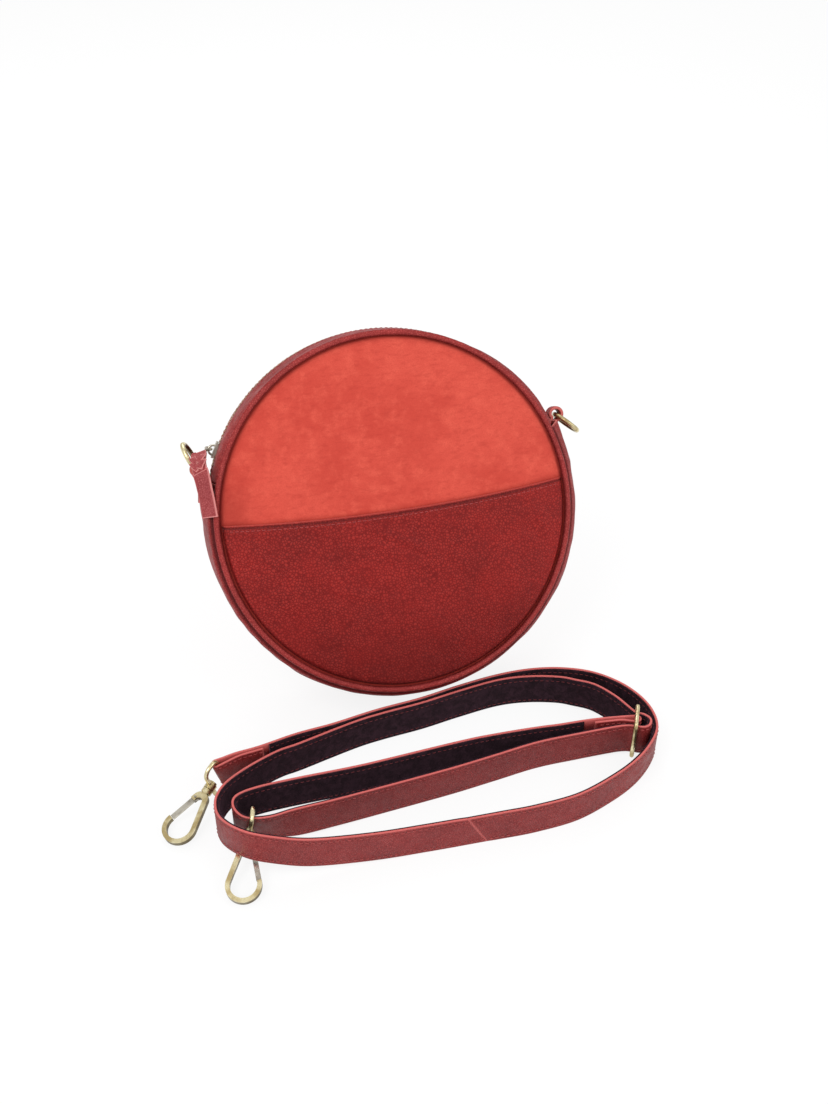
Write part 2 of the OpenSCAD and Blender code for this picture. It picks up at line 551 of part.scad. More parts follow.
// Straight round bar between two places
module bar(a, b, r) let (v = b - a) translate(a)
  rotate([0, acos(v[2] / norm(v)), atan2(v[1], v[0])]) cylinder(h = norm(v), r = r, $fn = round_fn);
// Closed wire round in the xz plane: from x0 to x1, up to height z, corner radii c0 at x0 and c1 at x1
module wire_frame(x0, x1, z, c0, c1, r) {
  for (m = [0, 1]) mirror([0, 0, m]) {
    translate([x0 + c0, 0, z - c0]) rotate([90, 0, 0]) rotate([0, 0, 90]) rotate_extrude(angle = 90, $fn = fine)
      translate([c0, 0]) circle(r, $fn = round_fn);
    translate([x1 - c1, 0, z - c1]) rotate([90, 0, 0]) rotate_extrude(angle = 90, $fn = fine)
      translate([c1, 0]) circle(r, $fn = round_fn);
    if (x1 - x0 > c0 + c1) bar([x0 + c0, 0, z], [x1 - c1, 0, z], r);
  }
  bar([x0, 0, c0 - z], [x0, 0, z - c0], r);
  bar([x1, 0, c1 - z], [x1, 0, z - c1], r);
}

// Strap slider: a tall frame of wire with a middle bar
slide_turn = 64;
slide_corner = 3;
wire_z = strap_w / 2 + eye_room + eye_wire_r;
module strap_slider() color(brass_c)
  translate([slide_bar[0] + set_dx, slide_bar[1] + set_dy, slide_z + strap_w / 2]) rotate([0, 0, slide_turn]) {
    wire_frame(-slide_half, slide_half, wire_z, slide_corner, slide_corner, eye_wire_r);
    bar([0, 0, -wire_z], [0, 0, wire_z], eye_wire_r);
  }

// Hooks: each hook's own frame has x along the hook, z along the bar of its eye
eye_c0 = 2.9;
eye_c1 = 5.2;
boss_r = 3.4;
post_r = 1.3;
post_gap = 0.3;
head_r = 2.5;
head_t = 1;
collar_r = 3.2;
collar_t = 1;
neck_x = 16.6;
right_bar = [-103.5, -91.6];
right_z = 6.5;
right_heading = 254.5;
right_dip = 17.5;
hook_place = [
  [left_bar[0], left_bar[1], left_z + strap_w / 2, left_heading, left_dip, 0, 1],
  [right_bar[0], right_bar[1], right_z + strap_w / 2, right_heading, right_dip, -12, -1]
];
// k is 0 for the left hook and 1 for the right one; turned = 1 also turns the eye about the hook's axis
module at_hook(k, turned) let (h = hook_place[k]) translate([h[0] + set_dx, h[1] + set_dy, h[2]]) rotate([0, 0, h[3]])
  rotate([0, h[4], 0]) rotate([turned * h[5], 0, 0]) children();
module eye(k) color(brass_c) at_hook(k, 1) difference() {
  union() {
    wire_frame(0, eye_d, wire_z, eye_c0, eye_c1, eye_wire_r);
    translate([eye_d - eye_wire_r, 0, 0]) rotate([0, 90, 0]) cylinder(h = 3 * eye_wire_r, r = boss_r, $fn = fine);
  }
  translate([eye_d - 2 * eye_wire_r, 0, 0]) rotate([0, 90, 0])
    cylinder(h = 6 * eye_wire_r, r = post_r + post_gap, $fn = fine);
}
boss_x0 = eye_d - eye_wire_r;
boss_x1 = eye_d + 2 * eye_wire_r;
module post(k) color(brass_c) at_hook(k, 0) rotate([0, 90, 0]) rotate_extrude($fn = fine) polygon([
  [0, boss_x0 - post_gap - head_t], [head_r, boss_x0 - post_gap - head_t], [head_r, boss_x0 - post_gap],
  [post_r, boss_x0 - post_gap], [post_r, boss_x1 + post_gap], [collar_r, boss_x1 + post_gap],
  [collar_r, neck_x - collar_t], [collar_r - collar_t, neck_x], [0, neck_x]]);
end_c = hook_l - hook_w / 2;
neck_over = 0.6;
neck_c = neck_x + hook_neck_w / 2 - neck_over;
side_turn = asin((hook_w - hook_neck_w) / 2 / (end_c - neck_c));
gate_back = 0.2;
gate_x = neck_c - gate_back;
pin_in = 1.8;
pin_y = pin_in - hook_neck_w / 2;
gate_l = 17.6;
gate_open = 22;
gate_out = pin_in;
gate_in = 1.1;
cheek_t = 0.75;
gate_gap = 0.3;
gate_t = hook_t - 2 * cheek_t - 2 * gate_gap;
pin_r = 0.7;
pin_gap = 0.15;
module gate_shape(grow) {
  circle(gate_out + grow, $fn = round_fn);
  translate([0, -gate_out - grow]) square([gate_l + grow, gate_out + gate_in + 2 * grow]);
}
module at_gate() translate([gate_x, pin_y, 0]) rotate([0, 0, -side_turn]) children();
module pear(d) hull() {
  translate([neck_c + d / 2, 0]) circle(hook_neck_w / 2 - d, $fn = round_fn);
  translate([end_c, 0]) circle(hook_w / 2 - d, $fn = fine);
}
module frame(k) color(brass_c) at_hook(k, 0) mirror([0, hook_place[k][6] > 0 ? 0 : 1, 0]) difference() {
  linear_extrude(hook_t, center = true) difference() {
    intersection() {
      pear(0);
      translate([neck_x, -hook_w]) square([hook_l, 2 * hook_w]);
    }
    pear(hook_bar);
    translate([gate_x, pin_y]) rotate([0, 0, -side_turn]) translate([gate_out + gate_gap, -2 * gate_out])
      square([gate_l - gate_out, 2 * gate_out + gate_in + gate_gap]);
  }
  at_gate() for (a = [0, gate_open / 2, gate_open]) rotate([0, 0, a])
    linear_extrude(gate_t + 2 * gate_gap, center = true) gate_shape(gate_gap);
  at_gate() cylinder(h = 2 * hook_t, r = pin_r, center = true, $fn = round_fn);
}
module gate(k) color(steel_c) at_hook(k, 0) mirror([0, hook_place[k][6] > 0 ? 0 : 1, 0]) at_gate() difference() {
  linear_extrude(gate_t, center = true) gate_shape(0);
  cylinder(h = 2 * hook_t, r = pin_r + pin_gap, center = true, $fn = round_fn);
}
pin_head = 0.3;
module gate_pin(k) color(steel_c) at_hook(k, 0) mirror([0, hook_place[k][6] > 0 ? 0 : 1, 0]) at_gate()
  cylinder(h = hook_t + 2 * pin_head, r = pin_r, center = true, $fn = round_fn);
module hook_eye_left() eye(0);
module hook_post_left() post(0);
module hook_frame_left() frame(0);
module hook_gate_left() gate(0);
module hook_gate_pin_left() gate_pin(0);
module hook_eye_right() eye(1);
module hook_post_right() post(1);
module hook_frame_right() frame(1);
module hook_gate_right() gate(1);
module hook_gate_pin_right() gate_pin(1);

front_panel();
front_pocket();
back_panel();
front_piping();
back_piping();
lower_gusset();
zip_strip_front();
zip_strip_back();
zip_tape_front();
zip_tape_back();
zip_teeth_front();
zip_teeth_back();
zip_stops();
front_lining();
back_lining();
gusset_lining();
left_loop();
right_loop();
left_ring();
right_ring();
zip_slider();
zip_puller();
pull_plait();
pull_tail();
strap_leather_long();
strap_leather_short();
strap_lining();
strap_slider();
hook_eye_left();
hook_post_left();
hook_frame_left();
hook_gate_left();
hook_gate_pin_left();
hook_eye_right();
hook_post_right();
hook_frame_right();
hook_gate_right();
hook_gate_pin_right();
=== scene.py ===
# %% [markdown]
# # A round leather bag, with its strap lying in front of it
#
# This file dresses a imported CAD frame. The frame holds every part of the bag as a solid. The metal parts are
# shown as they are there, and each leather, suede, cloth and thread surface is built here over its own part.
# A surface is worked out with numpy in millimetres and becomes a mesh in metres, in the frame's own place.
# Nothing is moved afterwards, so the bag and its dressing share one set of coordinates.

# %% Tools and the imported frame
import bpy
import math
import numpy as np
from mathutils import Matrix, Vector


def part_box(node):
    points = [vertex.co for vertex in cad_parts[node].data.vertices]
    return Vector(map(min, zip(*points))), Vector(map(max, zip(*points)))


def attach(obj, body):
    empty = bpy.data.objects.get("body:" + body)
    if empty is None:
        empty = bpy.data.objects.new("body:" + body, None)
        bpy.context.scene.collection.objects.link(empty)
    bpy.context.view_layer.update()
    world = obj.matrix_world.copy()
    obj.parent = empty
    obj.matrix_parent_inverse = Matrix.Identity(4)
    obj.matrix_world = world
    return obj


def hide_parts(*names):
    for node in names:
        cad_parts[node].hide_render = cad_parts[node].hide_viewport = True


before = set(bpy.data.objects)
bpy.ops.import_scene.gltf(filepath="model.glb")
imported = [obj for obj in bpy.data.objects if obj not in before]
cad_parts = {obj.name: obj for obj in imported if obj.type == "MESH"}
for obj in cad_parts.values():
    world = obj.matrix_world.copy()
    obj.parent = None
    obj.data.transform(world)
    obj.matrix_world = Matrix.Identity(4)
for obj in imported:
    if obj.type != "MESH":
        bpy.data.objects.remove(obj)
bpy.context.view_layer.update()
print("parts in the frame:", len(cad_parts))

# %% [markdown]
# ## The bag's measures
#
# The bag is a drum that leans back on the floor. It has two bulging faces, a roll of piping round each of
# them, and a band between the rolls whose upper part opens with a zip. Its sizes could be read off the
# frame's boxes, but a leaning round part has a box that says little. So they are repeated from the frame's
# source here, in millimetres. Angles are in degrees and go from the bag's right towards its top.

# %% Sizes of the bag
MM = 0.001
LEAN = math.radians(30.4)                    # how far the bag leans back
BAG = np.array([15.2, 56.163, 111.133])      # its middle
PANEL_R, HALF, CROWN = 108.0, 29.0, 9.0      # a face's radius, half the depth at its rim, and how far it bulges
SKIN = 1.4                                   # leather thickness of the band
GUSSET_IN, SEAM_OUT = 108.8, 110.2           # radius of the band's inside, and of its outside at the seams
BAND_HALF = 26.95                            # half of the band's width
GUSSET_SWELL, ZIP_SWELL = 6.4, 4.0           # how far the lower band and the zip's strips stand out
LEFT_TURN = 3.5                              # the zip's left end lies this much lower than its right end
ZIP_A0, ZIP_A1 = 21.0, 159.0 + LEFT_TURN     # where the zip's strips end
END_GAP = 0.4                                # room between the strips' ends and the lower band
FLOOR_GAP = 0.02                             # leather that rests on the floor is kept this much above it
print(f"bag: {2 * PANEL_R:.0f} mm across a face, {2 * (HALF + CROWN):.0f} mm deep at its middle")

# %% [markdown]
# ## Coordinates on the bag
#
# It is easiest to think about a leaning bag as if it stood upright. A place is given by how far it is to the
# right, up the face and out of the face, and one function turns that into the frame's coordinates. The bag
# could instead be modelled upright and turned as an object, but then its mesh wouldn't lie where the frame's
# own solids lie.

# %% From the bag's face to the frame
def bag(x, y, f):
    """Face coordinates to the frame's: x stays, and y and f are turned back by the angle of lean."""
    x, y, f = np.broadcast_arrays(np.asarray(x, float), np.asarray(y, float), np.asarray(f, float))
    return np.stack([BAG[0] + x, BAG[1] - f * math.cos(LEAN) + y * math.sin(LEAN),
                     BAG[2] + f * math.sin(LEAN) + y * math.cos(LEAN)], -1)


def bag_polar(r, a, f):
    """Radius, angle and height out of the face: x is r times the cosine, y is r times the sine."""
    a = np.radians(np.asarray(a, float))
    return bag(r * np.cos(a), r * np.sin(a), f)


def bag_way(x, y, f):
    """A direction on the face as a direction in the frame: a place less the bag's middle."""
    return bag(x, y, f) - BAG


def dome(r):
    """Height of a face over the bag's middle: full at the centre, falling with the cube of the radius."""
    return HALF + CROWN * (1 - (np.asarray(r) / PANEL_R) ** 3)


print("bag's top:", bag_polar(PANEL_R, 90, 0).round(1), "mm")

# %% [markdown]
# ## Soft shapes from three small functions
#
# Leather has no straight lines. It rises softly beside a seam, bulges over what lies under it, and is never
# quite even. A smooth step, a hump and a seeded sum of waves give all of that. Blender's own noise could
# displace the meshes, but these stay the same in every program, and a place can be worked out in advance.

# %% Step, hump and unevenness
def step(x, a, b):
    """Smooth rise from 0 at a to 1 at b: 3 t squared less 2 t cubed, with t the share of the way."""
    t = np.clip((np.asarray(x, float) - a) / (b - a), 0, 1)
    return t * t * (3 - 2 * t)


def bump(x, at, width):
    """A hump of height 1: e to the minus square of the distance from its middle, in widths."""
    return np.exp(-((np.asarray(x, float) - at) / width) ** 2)


def window(x, low, high, soft):
    """1 between low and high, with a soft step on both sides: a rising step times a falling one."""
    return step(x, low - soft, low + soft) * (1 - step(x, high - soft, high + soft))


def ripple(p, size, seed, waves=9):
    """Unevenness from about -1 to 1: a seeded sum of cosines that run in all directions, of about one size."""
    rng = np.random.default_rng(seed)
    k = rng.normal(size=(waves, p.shape[-1]))
    k *= (rng.uniform(0.6, 1.5, waves) / np.linalg.norm(k, axis=1) * 2 * math.pi / size)[:, None]
    return np.cos(p @ k.T + rng.uniform(0, 2 * math.pi, waves)).sum(-1) / math.sqrt(waves) * 0.8


print("a step half way:", float(step(0.5, 0, 1)))

# %% [markdown]
# ## Materials as arithmetic
#
# A Blender material is a graph of nodes. Drawn by hand, a leather has dozens of them. Here one value of the
# graph is a Python object, and a sum on it adds the node that does the sum, so a finish reads like a formula.
# Patterns are read in object coordinates, which stay on the piece when the bag moves and need no image.

# %% Colours as written on screen
def rgb(r, g, b):
    """A colour from 0 to 255 as linear light: divided by 12.92 when dark, else to the power of 2.4."""
    lin = [c / 255 / 12.92 if c / 255 <= 0.04045 else ((c / 255 + 0.055) / 1.055) ** 2.4 for c in (r, g, b)]
    return (*lin, 1.0)


print("mid grey in linear light:", round(rgb(128, 128, 128)[0], 3))


# %% One value of a material's graph
class Wire:
    """An output of a node. Each operator adds one Math node that works on it."""

    def __init__(self, look, socket):
        self.look, self.socket = look, socket

    def __sub__(self, other):
        return self.look.maths("SUBTRACT", self, other)

    def __rsub__(self, other):
        return self.look.maths("SUBTRACT", other, self)

    def __mul__(self, other):
        return self.look.maths("MULTIPLY", self, other)

    __rmul__ = __mul__

    def __truediv__(self, other):
        return self.look.maths("DIVIDE", self, other)

    def __or__(self, other):
        return self.look.maths("MAXIMUM", self, other)

    def __abs__(self):
        return self.look.maths("ABSOLUTE", self)

    def sine(self):
        """Its sine, with the value taken in radians."""
        return self.look.maths("SINE", self)

    def band(self, low, high, to_low=0.0, to_high=1.0):
        """Smooth rise from to_low to to_high while the value goes from low to high."""
        return self.look.node("ShaderNodeMapRange", dict(enumerate((self, low, high, to_low, to_high))),
                              interpolation_type="SMOOTHSTEP")


# %% A material and its graph
class Look:
    """A material: patterns in object coordinates, colours mixed by masks, and bumps laid over each other."""

    def __init__(self, name, roughness=0.5, metallic=0.0, **constants):
        self.mat = bpy.data.materials.new(name)
        self.mat.use_nodes = True
        self.tree = self.mat.node_tree
        self.shader = self.tree.nodes["Principled BSDF"]
        self.set_shader(Roughness=roughness, Metallic=metallic, **constants)
        self.place = self.node("ShaderNodeTexCoord", out="Object")
        self.normal = None

    def feed(self, socket, value):
        """Links a wire to a socket, or sets the socket to a constant."""
        if isinstance(value, Wire):
            self.tree.links.new(value.socket, socket)
        else:
            socket.default_value = value

    def node(self, kind, sockets=(), out=0, **settings):
        """Adds a node: its settings come first, then its sockets, and one of its outputs is given back."""
        made = self.tree.nodes.new(kind)
        for key, value in settings.items():
            setattr(made, key, value)
        for key, value in dict(sockets).items():
            self.feed(made.inputs[key], value)
        return Wire(self, made.outputs[out])

    def maths(self, kind, *values):
        """One Math node on wires or numbers."""
        return self.node("ShaderNodeMath", dict(enumerate(values)), operation=kind)

    def vector(self, kind, out, *values):
        """One Vector Math node on wires or triples."""
        return self.node("ShaderNodeVectorMath", dict(enumerate(values)), out, operation=kind)

    def noise(self, size, detail=3.0, rough=0.5, stretch=None, bend=0.0):
        """Cloudy noise with features of about the given size, in millimetres."""
        place = self.place if stretch is None else self.vector("MULTIPLY", "Vector", self.place, stretch)
        return self.node("ShaderNodeTexNoise", {"Scale": 1 / (size * MM), "Detail": detail, "Roughness": rough,
                                                "Distortion": bend, "Vector": place}, "Fac")

    def cells(self, size, warp=0.8):
        """Distance from the borders of pushed-about cells: noise moves each place before it is looked up."""
        push = self.node("ShaderNodeTexNoise", {"Scale": 1 / (2.2 * size * MM), "Vector": self.place}, "Color")
        place = self.vector("MULTIPLY_ADD", "Vector", push, (warp * size * MM,) * 3, self.place)
        return self.node("ShaderNodeTexVoronoi", {"Scale": 1 / (size * MM), "Vector": place}, "Distance",
                         feature="DISTANCE_TO_EDGE")

    def height(self, foot, way):
        """How far a place lies along a direction from a point, in millimetres: a dot product."""
        return self.vector("DOT_PRODUCT", "Value", self.place, way) / MM - float(np.dot(foot, way))

    def away(self, centre):
        """Distance from a point, in millimetres."""
        return self.vector("DISTANCE", "Value", self.place, np.asarray(centre) * MM) / MM

    def mark(self, name):
        """A value from 0 to 1 that was worked out on the mesh's points."""
        return self.node("ShaderNodeAttribute", out="Fac", attribute_type="GEOMETRY", attribute_name=name)

    def run(self, axis):
        """Millimetres along the piece (axis 0) or across it (axis 1), from its own UV map."""
        return self.node("ShaderNodeSeparateXYZ", {0: self.node("ShaderNodeUVMap", uv_map="run")}, axis)

    def mix(self, share, a, b):
        """Colour a where the share is 0, and colour b where it is 1."""
        return self.node("ShaderNodeMix", {0: share, 6: a, 7: b}, 2, data_type="RGBA")

    def raise_by(self, height, depth, strength):
        """Lays a bump of the given depth in millimetres over those before it."""
        sockets = {"Strength": strength, "Distance": depth * MM, "Height": height}
        if self.normal is not None:
            sockets["Normal"] = self.normal
        self.normal = self.node("ShaderNodeBump", sockets)

    def set_shader(self, **sockets):
        """Sets or links the shader's sockets; an underscore in a name stands for a space."""
        for key, value in sockets.items():
            self.feed(self.shader.inputs[key.replace("_", " ")], value)

    def done(self, **sockets):
        """Connects the finished colour, gloss and bumps, and gives the material."""
        if self.normal is not None:
            sockets["Normal"] = self.normal
        self.set_shader(**sockets)
        print(f"{self.mat.name}: {len(self.tree.nodes)} nodes")
        return self.mat


# %% [markdown]
# ## Suede
#
# The upper front is orange-red suede. Its nap lies this way and that, so broad patches differ a little in
# tone, and fine fibres give it grain. Hair particles could make real fibres, but at this distance only the
# patches and a soft sheen show. So four noises of different sizes are mixed, from hand-wide to fibre-fine.

# %% The suede of the front panel
def suede():
    """Base tone from broad noise, lighter by the nap, darker by brushed streaks, fibres and the shade mark."""
    look = Look("suede", 0.95, Sheen_Weight=0.25, Sheen_Roughness=0.45, Specular_IOR_Level=0.1,
                Sheen_Tint=rgb(255, 170, 150))
    broad, nap, fibre = look.noise(38, 4, 0.55), look.noise(7, 3, 0.6), look.noise(0.7, 2, 0.6)
    brushed = look.noise(2.6, 4, 0.7, (0.4, 1, 1))
    tone = look.mix(broad.band(0.36, 0.66), rgb(208, 82, 68), rgb(194, 70, 58))
    tone = look.mix(nap.band(0.42, 0.75) * 0.45, tone, rgb(224, 98, 80))
    tone = look.mix(brushed.band(0.46, 0.72) * 0.4, tone, rgb(172, 56, 48))
    tone = look.mix(fibre.band(0.35, 0.75) * 0.35, tone, rgb(176, 58, 50))
    tone = look.mix(look.mark("shade"), tone, rgb(128, 36, 32))
    look.raise_by(fibre, 0.1, 0.5)
    look.raise_by(nap, 0.5, 0.25)
    return look.done(Base_Color=tone)


SUEDE = suede()

# %% [markdown]
# ## Pebbled leather
#
# Pocket, band, pull and strap are dark red leather with a rounded grain. Under a lens it is a field of small
# domes with furrows between them, and the tops are lighter: partly rubbed, partly a painted highlight. A scan
# would give it at once, but it would need images. Voronoi cells have the same build: the distance from a
# cell's border rises like a dome. Two marks come from the meshes: "shade" is painted shade at seams and
# undersides, and "rim" shows the light cut edges, and is a painted highlight on the pocket's folded edge,
# the piping's top and the folds of the zip's strips.

# %% Leather, with its colours from deep to worn
def leather(name, deep, mid, light, edge, grain, depth, roughness, shine=0.3, highlight_and_wear=0.5):
    """Deep to mid tone by broad noise, light grain tops, deep furrows, then the shade and rim marks."""
    look = Look(name, roughness, Specular_IOR_Level=shine)
    border, wrinkle = look.cells(grain), look.cells(0.45 * grain)
    broad, patch = look.noise(30, 4, 0.6), look.noise(12, 2, 0.5)
    pebble = border.band(0.0, 0.32)
    tone = look.mix(broad.band(0.2, 0.75), deep, mid)
    # lighter grain tops: partly rubbed leather, partly a painted highlight
    tone = look.mix(pebble * patch.band(0.2, 0.8, 0.6, 1.0) * highlight_and_wear, tone, light)
    tone = look.mix((1 - border.band(0.0, 0.14)) * 0.6, tone, deep)
    tone = look.mix(look.mark("shade"), tone, rgb(58, 10, 12))
    # pale cut edges; where the rim mark lies on a fold or on the piping's top, it is a painted highlight
    tone = look.mix(look.mark("rim"), tone, edge)
    look.raise_by(pebble * patch.band(0.1, 0.8, 0.45, 1.0), depth, 0.7)
    look.raise_by(wrinkle.band(0.0, 0.3), 0.35 * depth, 0.5)
    look.raise_by(look.noise(9, 3, 0.5), 0.5, 0.25)
    gloss = look.noise(5, 3, 0.6).band(0.3, 0.7, roughness - 0.06, roughness + 0.12)
    return look.done(Base_Color=tone, Roughness=gloss)


POCKET = leather("pocket_leather", rgb(104, 9, 8), rgb(138, 19, 16), rgb(176, 50, 42), rgb(196, 78, 68),
                 grain=1.7, depth=0.26, roughness=0.44, shine=0.2, highlight_and_wear=0.6)
BAND = leather("band_leather", rgb(108, 14, 16), rgb(146, 32, 32), rgb(192, 84, 80), rgb(200, 104, 98),
               grain=1.3, depth=0.14, roughness=0.46, shine=0.14)
PULL = leather("pull_leather", rgb(124, 34, 38), rgb(158, 58, 60), rgb(196, 104, 104), rgb(226, 146, 142),
               grain=1.2, depth=0.1, roughness=0.5)
STRAP = leather("strap_leather", rgb(104, 20, 22), rgb(138, 40, 40), rgb(170, 74, 71), rgb(204, 100, 96),
                grain=1.2, depth=0.12, roughness=0.45)

# %% [markdown]
# ## Cloth: the strap's dark lining, the zip's tape and the bag's lining
#
# The strap is lined with a nearly black napped cloth, the zip's teeth sit on a woven tape, and the inside
# has a thin plain cloth. Real threads would cost millions of faces. The nap is noise with a sheen, and the
# tape's weave is two sine waves that cross, read along its own UV map so that it follows the bend.

# %% The strap's napped lining
def nap_lining():
    """Very dark tone, lighter where the twisted noise stands up and on single fibres."""
    look = Look("strap_lining", 0.95, Sheen_Weight=0.5, Sheen_Roughness=0.4, Specular_IOR_Level=0.1,
                Sheen_Tint=rgb(150, 110, 130))
    nap, fibre = look.noise(5, 4, 0.6, bend=0.6), look.noise(0.8, 2, 0.6)
    tone = look.mix(nap.band(0.35, 0.7), rgb(26, 15, 20), rgb(48, 30, 38))
    tone = look.mix(fibre.band(0.5, 0.8) * 0.5, tone, rgb(66, 44, 52))
    look.raise_by(fibre, 0.25, 0.7)
    look.raise_by(nap, 0.6, 0.35)
    return look.done(Base_Color=tone)


LINING = nap_lining()


# %% Woven tape and plain cloth
def weave(name, dark, light, pitch):
    """A plain weave: the size of one sine along the run times the size of one across it."""
    look = Look(name, 0.85, Specular_IOR_Level=0.2)
    over, across = (abs((look.run(axis) * (math.pi / pitch)).sine()) for axis in (0, 1))
    yarn = over * across
    look.raise_by(yarn, 0.12, 0.6)
    return look.done(Base_Color=look.mix(yarn.band(0.1, 0.8), dark, light),
                     Roughness=yarn.band(0.0, 1.0, 0.9, 0.7))


def cloth(name, dark, light):
    """Two noises drawn out along the two thread directions, multiplied."""
    look = Look(name, 0.9, Specular_IOR_Level=0.2)
    yarn = look.noise(0.5, 1, 0.5, (1, 0.2, 1)) * look.noise(0.5, 1, 0.5, (0.2, 1, 1))
    look.raise_by(yarn, 0.15, 0.5)
    return look.done(Base_Color=look.mix(yarn.band(0.1, 0.5), dark, light))


TAPE = weave("zip_tape", rgb(60, 10, 16), rgb(118, 28, 36), pitch=0.5)
CLOTH = cloth("cloth_lining", rgb(30, 22, 26), rgb(70, 56, 60))

# %% [markdown]
# ## Aged brass and steel
#
# Hooks, rings and teeth are brass with an aged finish, pale where fingers rub it and brown elsewhere. Such
# wear is often painted by hand. Here it follows from the shape, and on hooks and rings the dark is also
# painted shade and a painted dark reflection. A hook is dark on its sides, which lie near its own middle
# plane, and a ring is dark on its inside, which lies near its centre. The ring's centre is read off the
# frame. The zip's slider, its puller and the gates are a greyer steel.

# %% Metal that darkens where nothing rubs it, with painted shade on sides and insides
SIDE_SHADE_DARK = 0.85                         # share of the dark tone: painted shade on sides and insides, where nothing rubs


def metal(name, dark, mid, bright, roughness, highlight_and_wear=None):
    """Mid to bright by patina noise, darker in grime spots, and dark where highlight_and_wear is low: painted shade on
    the sides and insides, where nothing rubs.
    """
    look = Look(name, roughness, 1.0)
    patina, grime = look.noise(7, 3, 0.5), look.noise(1.1, 3, 0.6)
    scratch = look.noise(0.9, 2, 0.5, (1, 0.12, 1))
    tone = look.mix(patina.band(0.34, 0.64), mid, bright)
    tone = look.mix(grime.band(0.56, 0.85) * 0.5, tone, dark)
    # painted shade and a painted dark reflection on the sides and insides, laid where nothing rubs
    if highlight_and_wear is not None:
        tone = look.mix((1 - highlight_and_wear(look)) * SIDE_SHADE_DARK, tone, dark)
    look.raise_by(scratch, 0.02, 0.3)
    return look.done(Base_Color=tone, Roughness=patina.band(0.3, 0.7, roughness + 0.14, roughness - 0.05))


AGED_BRASS = rgb(84, 72, 50), rgb(176, 157, 112), rgb(236, 224, 182), 0.3
BRASS = metal("aged_brass", *AGED_BRASS)
STEEL = metal("gate_steel", rgb(70, 64, 58), rgb(140, 132, 120), rgb(206, 200, 186), 0.28)

# %% Brass that follows the hooks' and the rings' own shapes
# a point on each hook's middle plane, and the way its broad side faces
HOOK_PLANES = {"left": ((-114.1, -51.55, 16.5), (-0.2075, -0.1915, 0.9593)),
               "right": ((-102.3, -90.95, 17.8), (-0.0804, -0.2898, 0.9537))}
RING_CENTRES = {side: np.mean(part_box(f"{side}_ring"), axis=0) / MM for side in ("left", "right")}
# painted shade: dark on a hook's sides and underside, and on a ring's inside
HOOK_BRASS = {side: metal(f"{side}_hook_brass", *AGED_BRASS, lambda look, at=at: look.height(*at).band(0.9, 1.5))
              for side, at in HOOK_PLANES.items()}
RING_BRASS = {side: metal(f"{side}_ring_brass", *AGED_BRASS, lambda look, at=at: look.away(at).band(8.1, 9.3))
              for side, at in RING_CENTRES.items()}
print("ring centres:", {side: at.round(1).tolist() for side, at in RING_CENTRES.items()})

# %% [markdown]
# ## Thread
#
# Sewing thread is two yarns twisted together, which shows as slanting light and dark. The yarns could be
# wound round each other as tubes, but that would cost hundreds of faces for each stitch. At the size of a
# stitch one sine wave along the thread is enough.

# %% Red thread for the bag, dark thread for the strap's lining
def sewing_thread(name, dark, light):
    """Tone, bump and gloss all follow the sine of the distance along the thread."""
    look = Look(name, 0.6, Specular_IOR_Level=0.35)
    twist = (look.run(0) * 9.0).sine().band(-1.0, 1.0)
    look.raise_by(twist, 0.06, 0.5)
    return look.done(Base_Color=look.mix(twist, dark, light), Roughness=twist.band(0.0, 1.0, 0.7, 0.5))


THREAD = sewing_thread("red_thread", rgb(110, 28, 30), rgb(196, 92, 90))
DARK_THREAD = sewing_thread("dark_thread", rgb(70, 14, 20), rgb(120, 40, 46))

# %% [markdown]
# ## Meshes from grids of points
#
# Every soft piece is a sheet or a tube, so its points form a grid, and its faces are the squares between
# neighbours. Modelling by hand or sculpting could give the same forms, but a grid from a formula can be
# changed by one number. Each piece also gets a UV map in millimetres and marks on its points for the shades.

# %% From points and faces to a dressed piece
def piece(name, points, faces, look, body, slot, run, node=None, **marks):
    """A mesh object from points in millimetres. The marks hold one value for each point."""
    mesh = bpy.data.meshes.new(name)
    mesh.from_pydata((np.asarray(points) * MM).tolist(), [], faces)
    mesh.polygons.foreach_set("use_smooth", [True] * len(mesh.polygons))
    mesh.materials.append(look)
    corner = np.empty(len(mesh.loops), np.int32)
    mesh.loops.foreach_get("vertex_index", corner)
    mesh.uv_layers.new(name="run").data.foreach_set("uv", np.asarray(run, np.float32)[corner].ravel())
    for key, values in marks.items():
        mesh.attributes.new(key, "FLOAT", "POINT").data.foreach_set("value", np.asarray(values, np.float32).ravel())
    mesh.validate()
    made = bpy.data.objects.new(name, mesh)
    bpy.context.scene.collection.objects.link(made)
    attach(made, body)
    if node:
        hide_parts(node)
    print(f"{name}: {len(points)} points, {len(faces)} faces, moves with {body}")
    return made


# %% A sheet or a tube from a grid
def quads(nu, nv, close_u=False, close_v=False):
    """Faces of a grid of nu rows of nv points: each point with its neighbours ahead and beside it."""
    iu, iv = np.arange(nu if close_u else nu - 1), np.arange(nv if close_v else nv - 1)
    u, v = np.meshgrid(iu, iv, indexing="ij")
    ahead, beside = (u + 1) % nu, (v + 1) % nv
    return np.stack([u * nv + v, ahead * nv + v, ahead * nv + beside, u * nv + beside], -1).reshape(-1, 4).tolist()


def run_along(path):
    """Distance run at each point of a path: the summed lengths of its steps."""
    return np.r_[0, np.cumsum(np.linalg.norm(np.diff(path, axis=0), axis=1))]


